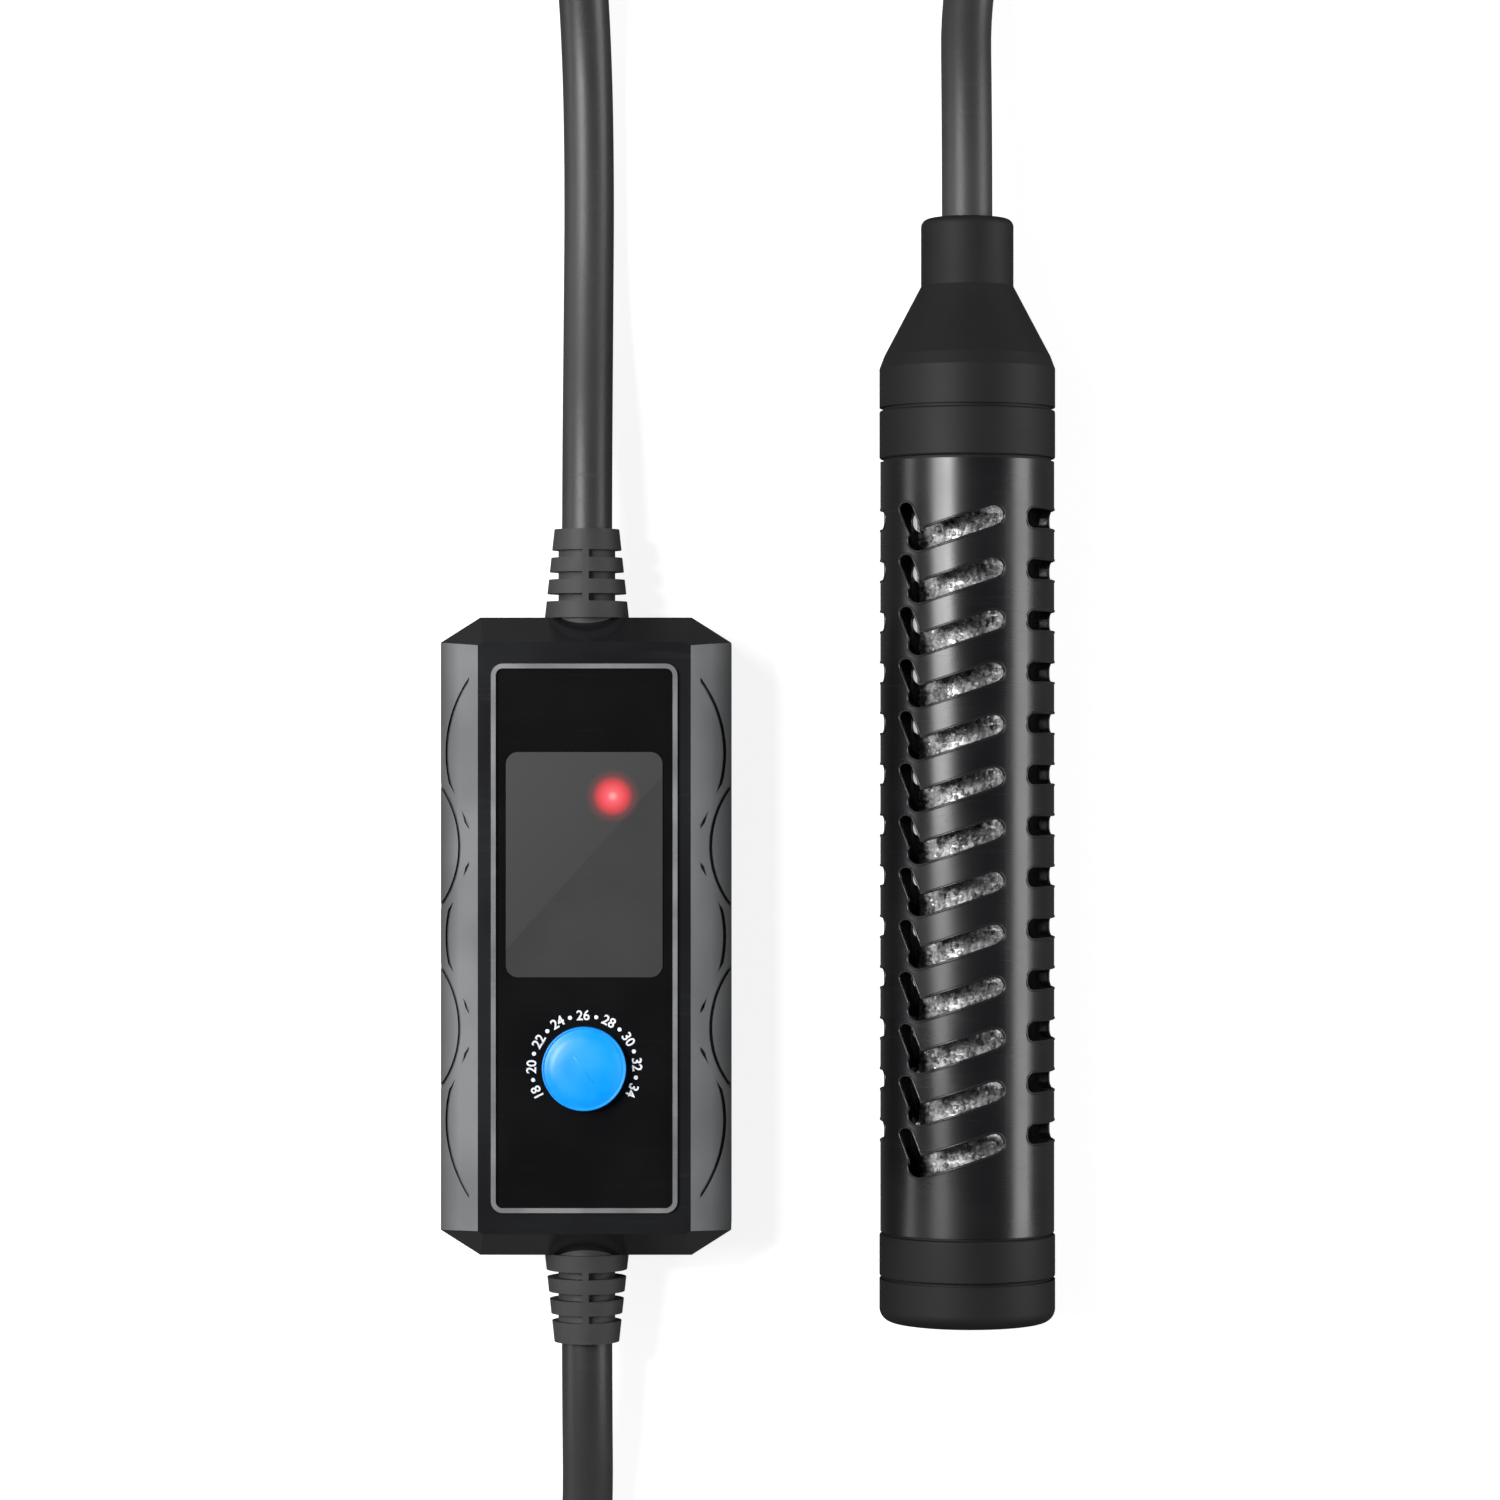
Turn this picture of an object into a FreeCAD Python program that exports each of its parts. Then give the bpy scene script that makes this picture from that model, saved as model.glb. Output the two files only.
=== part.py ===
import FreeCAD, Part
import math
import os
import re
import Sketcher
from FreeCAD import Placement, Rotation, Vector

# Submersible aquarium heater with an external temperature controller, lying on its back.
# Millimetres, +Z up, +Y towards the cord end of the heating rod. The surface it lies on is z = 0.

SIZES = {
    # Cord: round rubber mains flex, used on both sides of the controller.
    "CordRadius": 4.05,
    # Heating rod: stations along its axis, from the cord end down, and radii.
    "RodSide": 35.0,
    "RodRadius": 14.05,
    "GrooveRadius": 13.4,
    "CapTop": 89.8,
    "NeckFoot": 79.0,
    "ConeFoot": 67.8,
    "ShoulderFoot": 65.8,
    "CapFoot": 59.6,
    "NeckRadius": 7.4,
    "ConeRadius": 13.3,
    "NeckRound": 1.3,
    "CapWall": 1.85,
    "BushRadius": 5.6,
    "BushFoot": 80.0,
    "BushFlange": 1.0,
    "CollarTop": 59.1,
    "CollarFoot": 51.4,
    "CollarRound": 0.35,
    "SpigotLength": 3.5,
    "SleeveTop": 50.9,
    "SleeveFoot": -72.0,
    "SleeveRadius": 13.9,
    "SleeveBore": 12.6,
    "FootCollarTop": -72.4,
    "FootCollarEnd": -79.2,
    "EndCapTop": -79.6,
    "EndCapFoot": -86.5,
    "EndCapRound": 2.2,
    "EndCapFloor": 2.0,
    "EndCapBore": 12.3,
    # Guard slots: a column of check-mark openings in front and one behind, with a column of
    # level openings on each side between them.
    "SlotRows": 13,
    "SlotDepth": 30.0,
    "BackTurn": 196.0,
    "CheckFirstRow": 37.9,
    "CheckPitch": 8.24,
    "CheckVertex": -8.2,
    "LongArmWidth": 3.5,
    "LongArmLength": 16.0,
    "LongArmRise": 18.4,
    "LongArmRound": 1.7,
    "ShortArmWidth": 2.2,
    "ShortArmLength": 7.7,
    "ShortArmLean": 110.5,
    "ShortArmRound": 1.05,
    "RightTurn": 73.5,
    "RightLength": 15.3,
    "LeftTurn": -96.5,
    "LeftLength": 11.1,
    "LevelFirstRow": 41.6,
    "LevelPitch": 8.12,
    "LevelWidth": 3.4,
    "LevelRound": 1.3,
    # Inside the rod: quartz tube, sand, ceramic core and its winding.
    "TubeRadius": 9.0,
    "TubeBore": 8.0,
    "TubeTop": 62.6,
    "TubeFoot": -81.0,
    "TubeFloor": -79.4,
    "TubeRound": 2.5,
    "SealSection": 1.6,
    "SealStation": 61.3,
    "SandBore": 5.5,
    "SandTop": 44.0,
    "SandFoot": -72.0,
    "DiscThick": 1.6,
    "CoreRadius": 4.2,
    "CoreBore": 1.6,
    "WireRadius": 0.45,
    "WindingRadius": 4.75,
    "WindingPitch": 4.0,
    "WindingFoot": -64.0,
    "WindingLength": 100.0,
    "StopperFoot": 52.0,
    "StopperFlange": 1.4,
    "LeadRadius": 0.9,
    "LeadSpread": 3.0,
    "LeadFoot": 48.5,
    "LeadTop": 81.0,
    "CrimpRadius": 1.5,
    "CrimpLength": 5.0,
    "FuseRadius": 1.9,
    "FuseLength": 8.0,
    "SensorRadius": 1.3,
    "SensorLength": 6.0,
    # Controller housing: centre, stations of its height and its octagonal outline.
    "BoxSide": -25.9,
    "BoxMiddle": -24.8,
    "BoxHalfWidth": 23.15,
    "BoxHalfLength": 50.8,
    "BoxCornerWidth": 6.3,
    "BoxCornerLength": 4.0,
    "BoxSeam": 13.0,
    "BoxBevelFoot": 17.0,
    "BoxTop": 25.0,
    "BoxWall": 2.0,
    "FaceHalfWidth": 16.8,
    "FaceHalfLength": 46.7,
    "FaceCornerWidth": 0.79,
    "FaceCornerLength": 0.5,
    "BaseChamfer": 1.0,
    "GasketHeight": 0.8,
    "GasketWidth": 0.9,
    # Grip grooves in the sloping sides of the front cover.
    "GripWidth": 0.5,
    "GripDepth": 0.8,
    "OvalReach": 22.1,
    "OvalRadius": 19.5,
    "OvalPitch": 29.2,
    "OvalEnd": 18.3,
    "LensReach": 19.9,
    "LensRadius": 15.9,
    "LensOffset": 14.4,
    "LensMargin": 1.3,
    # Front panel, its raised rim, the window and the dial.
    "PanelHalfWidth": 14.7,
    "PanelHalfLength": 43.3,
    "PanelCorner": 1.9,
    "PanelInnerCorner": 1.1,
    "PanelSeat": 24.0,
    "PanelTop": 25.1,
    "RimWidth": 0.75,
    "RimTop": 25.6,
    "WindowHalfWidth": 12.35,
    "WindowHalfLength": 17.75,
    "WindowMiddle": 11.6,
    "WindowCorner": 1.9,
    "WindowTop": 25.35,
    "LampSide": 4.5,
    "LampMiddle": 22.4,
    "LampRadius": 2.5,
    "LampFoot": 15.4,
    "LampTop": 23.9,
    "LampHole": 2.8,
    "DialMiddle": -20.5,
    "KnobRadius": 6.6,
    "KnobFoot": 25.4,
    "KnobTop": 28.0,
    "KnobRound": 0.45,
    "ShaftRadius": 3.0,
    "ShaftFoot": 11.4,
    "ShaftTop": 27.2,
    "ShaftGap": 0.05,
    "ShaftPassage": 3.5,
    "WiperRadius": 4.2,
    "WiperThick": 0.9,
    "PotHalf": 6.0,
    "PotTop": 16.4,
    "PotBush": 4.4,
    "PotBushTop": 20.5,
    "PotCavity": 4.8,
    "PotCavityFoot": 10.9,
    "PotCavityTop": 13.2,
    "PotHole": 4.9,
    # Circuit board and what it carries.
    "BoardHalfWidth": 18.0,
    "BoardHalfLength": 35.0,
    "BoardFoot": 8.0,
    "BoardTop": 9.6,
    "PostSide": 15.4,
    "PostLength": 31.5,
    "PostRadius": 2.6,
    "PostHole": 1.0,
    "ScrewHead": 2.2,
    "ScrewHeadHeight": 1.4,
    "RelayHalfWidth": 5.0,
    "RelayHalfLength": 10.0,
    "RelayTop": 20.0,
    "RelaySide": 11.0,
    "RelayMiddle": 0.0,
    "FilmHalfWidth": 3.4,
    "FilmHalfLength": 7.5,
    "FilmTop": 20.0,
    "FilmSide": -12.0,
    "FilmMiddle": -14.0,
    "CanRadius": 4.0,
    "CanHeight": 10.5,
    "CanSide": -11.0,
    "CanMiddle": 3.0,
    "CartridgeRadius": 2.5,
    "CartridgeHalfLength": 8.0,
    "CartridgeSide": 12.0,
    "CartridgeMiddle": -19.0,
    "CartridgeHeight": 12.8,
    "ChipHalf": 2.6,
    "ChipThick": 1.6,
    "ChipMiddle": 12.0,
    "TerminalHalfWidth": 7.5,
    "TerminalHalfLength": 3.6,
    "TerminalTop": 18.6,
    "TerminalMiddle": 31.0,
    "StrandRadius": 0.9,
    "StrandSpread": 2.4,
    "StrandHeight": 13.0,
    # Cord entries of the housing: strain reliefs and the clamps behind them.
    "ReliefLength": 14.2,
    "ReliefWide": 6.75,
    "ReliefNarrow": 5.2,
    "ReliefNeck": 5.8,
    "ReliefFlange": 6.9,
    "ReliefFlangeThick": 2.0,
    "ReliefSlots": 3,
    "ReliefSlotTall": 1.2,
    "ReliefSlotPitch": 3.5,
    "ReliefSlotFirst": 4.4,
    "ReliefRib": 0.5,
    "ReliefFloor": 4.55,
    "CordInside": 12.4,
    "ClampMiddle": 42.0,
    "ClampHalfWidth": 9.0,
    "ClampHalfLength": 2.4,
    "ClampTop": 18.6,
    "ClampScrewSide": 6.9,
    "ClampScrewRadius": 1.1,
    "CoverScrewSide": 16.6,
    "CoverScrewMiddle": 42.6,
    "CoverBoss": 3.1,
    "CoverScrewRadius": 1.3,
    "CoverScrewHead": 2.3,
    "CoverScrewSink": 3.0,
    "CoverScrewTip": 19.5,
    "CoverBossTop": 20.5,
    # Coils of stored cord: centre, two flat turns and one turn on top of them.
    "CoilTurn": 44.0,
    "CoilRiding": 7.01,
    "HeaterCoilSide": 7.3,
    "HeaterCoilMiddle": 179.0,
    "MainsCoilSide": 8.0,
    "MainsCoilMiddle": -169.0,
    # Mains plug: two round pins in a moulded body.
    "PlugSide": -36.0,
    "PlugHeight": 13.0,
    "PlugReliefTop": -198.0,
    "PlugBack": -218.0,
    "PlugWaist": -230.0,
    "PlugFace": -256.0,
    "PlugHalfWidth": 18.3,
    "PlugHalfHeight": 12.9,
    "PlugBackRadius": 8.2,
    "PlugOval": 0.01,
    "PlugReliefRadius": 5.3,
    "PinRadius": 2.4,
    "PinLength": 19.0,
    "PinSeat": 8.0,
    "PinRootRadius": 3.0,
    "PinSpread": 9.5,
}

doc = FreeCAD.newDocument("AquariumHeater")
sheet = doc.addObject("Spreadsheet::Sheet", "Sizes")
for row, (alias, amount) in enumerate(SIZES.items(), start=1):
    sheet.set(f"A{row}", alias)
    sheet.set(f"B{row}", str(amount))
    sheet.setAlias(f"B{row}", alias)
doc.recompute()

NEAR = 1e-4
nodes = {}


def cell(formula):
    """The same formula with every size taken from the sheet."""
    return re.sub(r"[A-Za-z]\w*", lambda word: "Sizes." + word.group(0), str(formula))


def amount_of(name):
    """One size read from the sheet."""
    return float(sheet.get(name))


def bind(thing, formulas):
    """Binds properties of a document object to formulas of the sheet."""
    for path, formula in formulas.items():
        thing.setExpression(path, cell(formula))


def place(thing, spot, turn=None):
    """Turns an object and binds its position to three formulas."""
    if turn is not None:
        thing.Placement = Placement(Vector(), turn)
    bind(thing, dict(zip(("Placement.Base.x", "Placement.Base.y", "Placement.Base.z"), spot)))


def keep(thing, name):
    """Names a finished sub-part and puts it among the nodes to export."""
    thing.Label = name
    nodes[name] = thing
    return thing


def outline(sketch, corners):
    """A closed run of straight edges through corners given as pairs of formulas."""
    count = len(corners)
    starts = [Vector(math.cos(2 * math.pi * k / count), math.sin(2 * math.pi * k / count), 0)
              for k in range(count)]
    for k in range(count):
        sketch.addGeometry(Part.LineSegment(starts[k], starts[(k + 1) % count]), False)
    for k in range(count):
        sketch.addConstraint(Sketcher.Constraint("Coincident", k, 2, (k + 1) % count, 1))
    for k, corner in enumerate(corners):
        for kind, formula in zip(("DistanceX", "DistanceY"), corner):
            index = sketch.addConstraint(Sketcher.Constraint(kind, -1, 1, k, 1, 1.0))
            sketch.setExpression(f"Constraints[{index}]", cell(formula))


def body_sketch(body, name, role):
    """A sketch on one of its own body's origin planes."""
    sketch = body.newObject("Sketcher::SketchObject", name)
    plane = [item for item in body.Origin.OriginFeatures if item.Role == role][0]
    sketch.AttachmentSupport = [(plane, "")]
    sketch.MapMode = "FlatFace"
    return sketch


def turned(name, corners, spot=("RodSide", 0, "RodRadius")):
    """A body revolved about its own Y axis from (radius, station) corners."""
    body = doc.addObject("PartDesign::Body", name + "_body")
    sketch = body_sketch(body, name + "_profile", "XY_Plane")
    outline(sketch, corners)
    doc.recompute()
    turning = body.newObject("PartDesign::Revolution", name + "_turning")
    turning.Profile = sketch
    turning.ReferenceAxis = (sketch, ["V_Axis"])
    turning.Angle = 360
    place(body, spot)
    doc.recompute()
    return keep(body, name)


def round_rims(body, rims, radius, axis=1):
    """Rounds the round edges that lie at (radius, station) pairs along an axis of a turned body."""
    base = body.Tip
    names = []
    for index, edge in enumerate(base.Shape.Edges, start=1):
        curve = edge.Curve
        if curve.TypeId != "Part::GeomCircle":
            continue
        for rim_radius, station in rims:
            same_size = abs(curve.Radius - amount_of(rim_radius)) < NEAR
            if same_size and abs(curve.Center[axis] - amount_of(station)) < NEAR:
                names.append(f"Edge{index}")
    rounding = body.newObject("PartDesign::Fillet", body.Name + "_rounding")
    rounding.Base = (base, names)
    bind(rounding, {"Radius": radius})
    doc.recompute()


def cylinder(name, radius, length, spot, turn=None):
    """A Part cylinder along +Z from its spot, or along the turned +Z."""
    thing = doc.addObject("Part::Cylinder", name)
    bind(thing, {"Radius": radius, "Height": length})
    place(thing, spot, turn)
    return thing


def block(name, half_width, half_length, low, high, middle=(0, 0)):
    """A box centred on the middle, between two heights, in the controller's own frame."""
    thing = doc.addObject("Part::Box", name)
    bind(thing, {"Length": f"2*({half_width})", "Width": f"2*({half_length})",
                 "Height": f"({high})-({low})"})
    place(thing, (f"BoxSide+({middle[0]})-({half_width})",
                  f"BoxMiddle+({middle[1]})-({half_length})", low))
    return thing


def rounded_uprights(name, corner, base):
    """A box with its upright edges rounded."""
    doc.recompute()
    rounding = doc.addObject("Part::Fillet", name)
    rounding.Base = base
    upright = []
    for index, edge in enumerate(base.Shape.Edges, start=1):
        span = edge.Vertexes[1].Point - edge.Vertexes[0].Point
        if abs(span.x) + abs(span.y) < NEAR:
            upright.append((index, amount_of(corner), amount_of(corner)))
    rounding.Edges = upright
    return rounding


def rounded_block(name, corner, *block_sizes):
    """A block whose upright edges are rounded."""
    return rounded_uprights(name, corner, block(name + "_block", *block_sizes))


def joined(name, pieces):
    """Several Part shapes fused into one."""
    thing = doc.addObject("Part::MultiFuse", name)
    thing.Shapes = pieces
    return thing


def cut(name, base, tools):
    """A Part shape with other shapes taken out of it."""
    thing = doc.addObject("Part::Cut", name)
    thing.Base = base
    thing.Tool = tools[0] if len(tools) == 1 else joined(name + "_tools", tools)
    return thing


def group(name, pieces):
    """Like pieces kept as separate solids in one node."""
    thing = doc.addObject("Part::Compound", name + "_group")
    thing.Links = pieces
    return keep(thing, name)


UP_ROD = Rotation(Vector(1, 0, 0), -90)
DOWN_ROD = Rotation(Vector(1, 0, 0), 90)


# ---- Heating rod, outside -------------------------------------------------------------------

def gland_cap():
    """Moulded top cap: neck round the cord, cone and skirt over the quartz tube."""
    body = turned("gland_cap", [
        ("BushRadius", "CapTop"), ("NeckRadius", "CapTop"), ("NeckRadius", "NeckFoot"),
        ("ConeRadius", "ConeFoot"), ("RodRadius", "ShoulderFoot"), ("RodRadius", "CapFoot"),
        ("RodRadius-CapWall", "CapFoot"), ("RodRadius-CapWall", "ShoulderFoot-CapWall"),
        ("BushRadius", "NeckFoot-CapWall")])
    round_rims(body, [("NeckRadius", "CapTop")], "NeckRound")


def cord_bush():
    """Rubber bush that grips the cord in the cap's neck."""
    turned("cord_bush", [
        ("CordRadius", "BushFoot"), ("BushRadius", "BushFoot"),
        ("BushRadius", "CapTop-BushFlange"), ("CordRadius", "CapTop-BushFlange")])


def collar(name, cap_side, cap_face, sleeve_side, sleeve_face, spigot_end):
    """Ring between a cap and the guard: a step shows as a fine groove on each side of it."""
    body = turned(name, [
        ("TubeRadius", cap_face), ("GrooveRadius", cap_face), ("GrooveRadius", cap_side),
        ("RodRadius", cap_side), ("RodRadius", sleeve_side), ("GrooveRadius", sleeve_side),
        ("GrooveRadius", sleeve_face), ("SleeveBore", sleeve_face),
        ("SleeveBore", spigot_end), ("TubeRadius", spigot_end)])
    round_rims(body, [("RodRadius", cap_side), ("RodRadius", sleeve_side)], "CollarRound")


def slot_bar(name, start, lean, width, length, corner):
    """A straight cutter with round ends that leans across the rod from its starting point."""
    bar = doc.addObject("Part::Box", name + "_bar")
    bind(bar, {"Length": length, "Width": width, "Height": "SlotDepth"})
    spin = Rotation(Vector(0, 0, 1), lean)
    shift = spin.multVec(Vector(-amount_of(width) / 2, -amount_of(width) / 2, 0))
    bar.Placement = Placement(Vector(start, 0, 0) + shift, spin)
    return rounded_uprights(name, corner, bar)


def slot_column(name, cutter, bearing, kind):
    """Rows of one kind of slot along the rod, turned to a bearing about its axis."""
    doc.recompute()
    turn = Rotation(Vector(0, 1, 0), bearing)
    copies = []
    for line in range(int(amount_of("SlotRows"))):
        station = amount_of(kind + "FirstRow") - amount_of(kind + "Pitch") * line
        copy = cutter.Shape.copy()
        spot = Placement(Vector(0, station, 0), turn)
        copy.Placement = spot.multiply(cutter.Shape.Placement)
        copies.append(copy)
    slots = doc.addObject("Part::Feature", name)
    slots.Shape = Part.makeCompound(copies)
    return slots


def level_column(name, length, turn):
    """A column of level slots, centred on its bearing."""
    start = (amount_of("LevelWidth") - amount_of(length)) / 2
    slot = slot_bar(name + "_slot", start, 0, "LevelWidth", length, "LevelRound")
    return slot_column(name, slot, amount_of(turn), "Level")


def guard_sleeve():
    """Glossy guard tube with columns of check-mark slots and of level slots."""
    sleeve = doc.addObject("Part::Cut", "guard_tube")
    span = "SleeveTop-SleeveFoot"
    sleeve.Base = cylinder("guard_outside", "SleeveRadius", span, ("0", "SleeveFoot", "0"), UP_ROD)
    sleeve.Tool = cylinder("guard_inside", "SleeveBore", span, ("0", "SleeveFoot", "0"), UP_ROD)
    vertex = amount_of("CheckVertex")
    check_mark = joined("check_mark", [
        slot_bar("long_arm", vertex, amount_of("LongArmRise"), "LongArmWidth", "LongArmLength",
                 "LongArmRound"),
        slot_bar("short_arm", vertex, amount_of("ShortArmLean"), "ShortArmWidth",
                 "ShortArmLength", "ShortArmRound")])
    columns = [slot_column("front_slots", check_mark, 0, "Check"),
               slot_column("back_slots", check_mark, amount_of("BackTurn"), "Check"),
               level_column("right_slots", "RightLength", "RightTurn"),
               level_column("left_slots", "LeftLength", "LeftTurn")]
    for column in columns:
        sleeve = cut(column.Name + "_cut", sleeve, [column])
    place(sleeve, ("RodSide", 0, "RodRadius"))
    keep(sleeve, "guard_sleeve")


def end_cap():
    """Closed cup at the foot of the rod."""
    body = turned("end_cap", [
        (0, "EndCapFoot"), ("RodRadius", "EndCapFoot"), ("RodRadius", "EndCapTop"),
        ("EndCapBore", "EndCapTop"), ("EndCapBore", "EndCapFoot+EndCapFloor"),
        (0, "EndCapFoot+EndCapFloor")])
    round_rims(body, [("RodRadius", "EndCapFoot")], "EndCapRound")


# ---- Heating rod, inside --------------------------------------------------------------------

def quartz_tube():
    """Closed quartz glass tube that keeps water from the element."""
    body = turned("quartz_tube", [
        (0, "TubeFoot"), ("TubeRadius", "TubeFoot"), ("TubeRadius", "TubeTop"),
        ("TubeBore", "TubeTop"), ("TubeBore", "TubeFloor"), (0, "TubeFloor")])
    round_rims(body, [("TubeRadius", "TubeFoot")], "TubeRound")


def ring_about_rod(name, inner, outer, foot, top):
    """A plain ring or tube about the rod's axis."""
    turned(name, [(inner, foot), (outer, foot), (outer, top), (inner, top)])


def rod_seal():
    """Rubber ring between the quartz tube and the cap's skirt."""
    seal = doc.addObject("Part::Torus", "rod_seal_ring")
    bind(seal, {"Radius1": "TubeRadius+SealSection", "Radius2": "SealSection"})
    place(seal, ("RodSide", "SealStation", "RodRadius"), UP_ROD)
    keep(seal, "rod_seal")


def heating_winding():
    """Resistance wire wound on the ceramic core."""
    helix = doc.addObject("Part::Helix", "winding_path")
    bind(helix, {"Pitch": "WindingPitch", "Height": "WindingLength", "Radius": "WindingRadius"})
    doc.recompute()
    wire_section = Part.Wire(Part.makeCircle(
        amount_of("WireRadius"), Vector(amount_of("WindingRadius"), 0, 0), Vector(0, 1, 0)))
    winding = doc.addObject("Part::Feature", "winding_wire")
    path = Part.Wire(helix.Shape.Edges)
    winding.Shape = path.makePipeShell([wire_section], True, True)
    place(winding, ("RodSide", "WindingFoot", "RodRadius"), UP_ROD)
    keep(winding, "heating_winding")


def lead_spots():
    """Offsets across the rod of the two supply leads and the sensor lead."""
    return [("-LeadSpread", "0"), ("LeadSpread", "0"), ("0", "LeadSpread")]


def along_rod(name, radius, foot, length, offset):
    """A rod parallel to the heating rod's axis, beside it by the offset."""
    return cylinder(name, radius, length,
                    (f"RodSide+({offset[0]})", foot, f"RodRadius+({offset[1]})"), UP_ROD)


def tube_stopper():
    """Silicone stopper that closes the quartz tube, with a hole for each lead."""
    body = turned("tube_stopper_blank", [
        (0, "StopperFoot"), ("TubeBore", "StopperFoot"), ("TubeBore", "TubeTop"),
        ("TubeRadius", "TubeTop"), ("TubeRadius", "TubeTop+StopperFlange"),
        (0, "TubeTop+StopperFlange")])
    del nodes["tube_stopper_blank"]
    holes = [along_rod(f"stopper_hole_{k}", "LeadRadius", "StopperFoot", "TubeTop", spot)
             for k, spot in enumerate(lead_spots())]
    keep(cut("tube_stopper_cut", body, holes), "tube_stopper")


def rod_leads():
    """Insulated leads from the winding and the sensor up into the cord."""
    leads = [along_rod(f"rod_lead_{k}", "LeadRadius", "LeadFoot", "LeadTop-LeadFoot", spot)
             for k, spot in enumerate(lead_spots()[:2])]
    sensor_foot = "TubeTop+StopperFlange+SensorLength"
    leads.append(along_rod("rod_lead_2", "LeadRadius", sensor_foot,
                           f"LeadTop-({sensor_foot})", lead_spots()[2]))
    group("rod_leads", leads)


def sleeves_on_leads():
    """Crimps at the winding's ends, the thermal cut-out and the temperature sensor."""
    crimps = []
    for k, spot in enumerate(lead_spots()[:2]):
        crimp = along_rod(f"crimp_shell_{k}", "CrimpRadius", "LeadFoot-CrimpLength/2",
                          "CrimpLength", spot)
        core = along_rod(f"crimp_bore_{k}", "LeadRadius", "LeadFoot", "CrimpLength", spot)
        crimps.append(cut(f"crimp_{k}", crimp, [core]))
    group("crimp_sleeves", crimps)
    cutout_foot = "TubeTop+StopperFlange+CrimpRadius"
    shell = along_rod("cutout_shell", "FuseRadius", cutout_foot, "FuseLength", lead_spots()[1])
    bore = along_rod("cutout_bore", "LeadRadius", cutout_foot, "FuseLength", lead_spots()[1])
    keep(cut("thermal_cutout_cut", shell, [bore]), "thermal_cutout")
    keep(along_rod("sensor_bead", "SensorRadius", "TubeTop+StopperFlange", "SensorLength",
                   lead_spots()[2]), "temperature_sensor")


def return_wire():
    """Straight wire through the core that brings the winding's far end back up."""
    keep(along_rod("return_wire_rod", "CoreBore/2", "SandFoot+DiscThick",
                   "LeadFoot-CrimpLength-SandFoot-DiscThick", ("0", "0")), "return_wire")


# ---- Controller housing ---------------------------------------------------------------------

def octagon(name, inset, height, face=False):
    """Outline of the housing at one height: a long rectangle with cut corners."""
    half_width, half_length = ("FaceHalfWidth", "FaceHalfLength") if face else (
        "BoxHalfWidth", "BoxHalfLength")
    corner_width, corner_length = ("FaceCornerWidth", "FaceCornerLength") if face else (
        "BoxCornerWidth", "BoxCornerLength")
    wide = f"({half_width}-({inset}))"
    long = f"({half_length}-({inset}))"
    corners = []
    for side_x, side_y, upright_first in ((1, 1, True), (-1, 1, False), (-1, -1, True),
                                          (1, -1, False)):
        on_side = (f"{side_x}*{wide}", f"{side_y}*({long}-{corner_length})")
        on_end = (f"{side_x}*({wide}-{corner_width})", f"{side_y}*{long}")
        corners += [on_side, on_end] if upright_first else [on_end, on_side]
    sketch = doc.addObject("Sketcher::SketchObject", name)
    outline(sketch, corners)
    place(sketch, ("BoxSide", "BoxMiddle", height))
    return sketch


def lofted(name, sections):
    """A solid ruled through outlines at rising heights."""
    thing = doc.addObject("Part::Loft", name)
    thing.Sections = sections
    thing.Solid = True
    thing.Ruled = True
    return thing


def cord_way(name, radius):
    """Bar along both cord entries, for cutting their holes."""
    return cylinder(name, radius, "2*(BoxHalfLength+ReliefLength)",
                    ("BoxSide", "BoxMiddle-BoxHalfLength-ReliefLength", "BoxSeam"), UP_ROD)


def corner_spots(side, length):
    """The four symmetric places on the housing, as pairs of formulas."""
    return [(f"{x}*{side}", f"{y}*{length}") for x in (-1, 1) for y in (-1, 1)]


def uprights(name, radius, low, high, spots):
    """Cylinders standing at several places of the housing."""
    return [cylinder(f"{name}_{k}", radius, f"({high})-({low})",
                     (f"BoxSide+({x})", f"BoxMiddle+({y})", low)) for k, (x, y) in enumerate(spots)]


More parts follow.
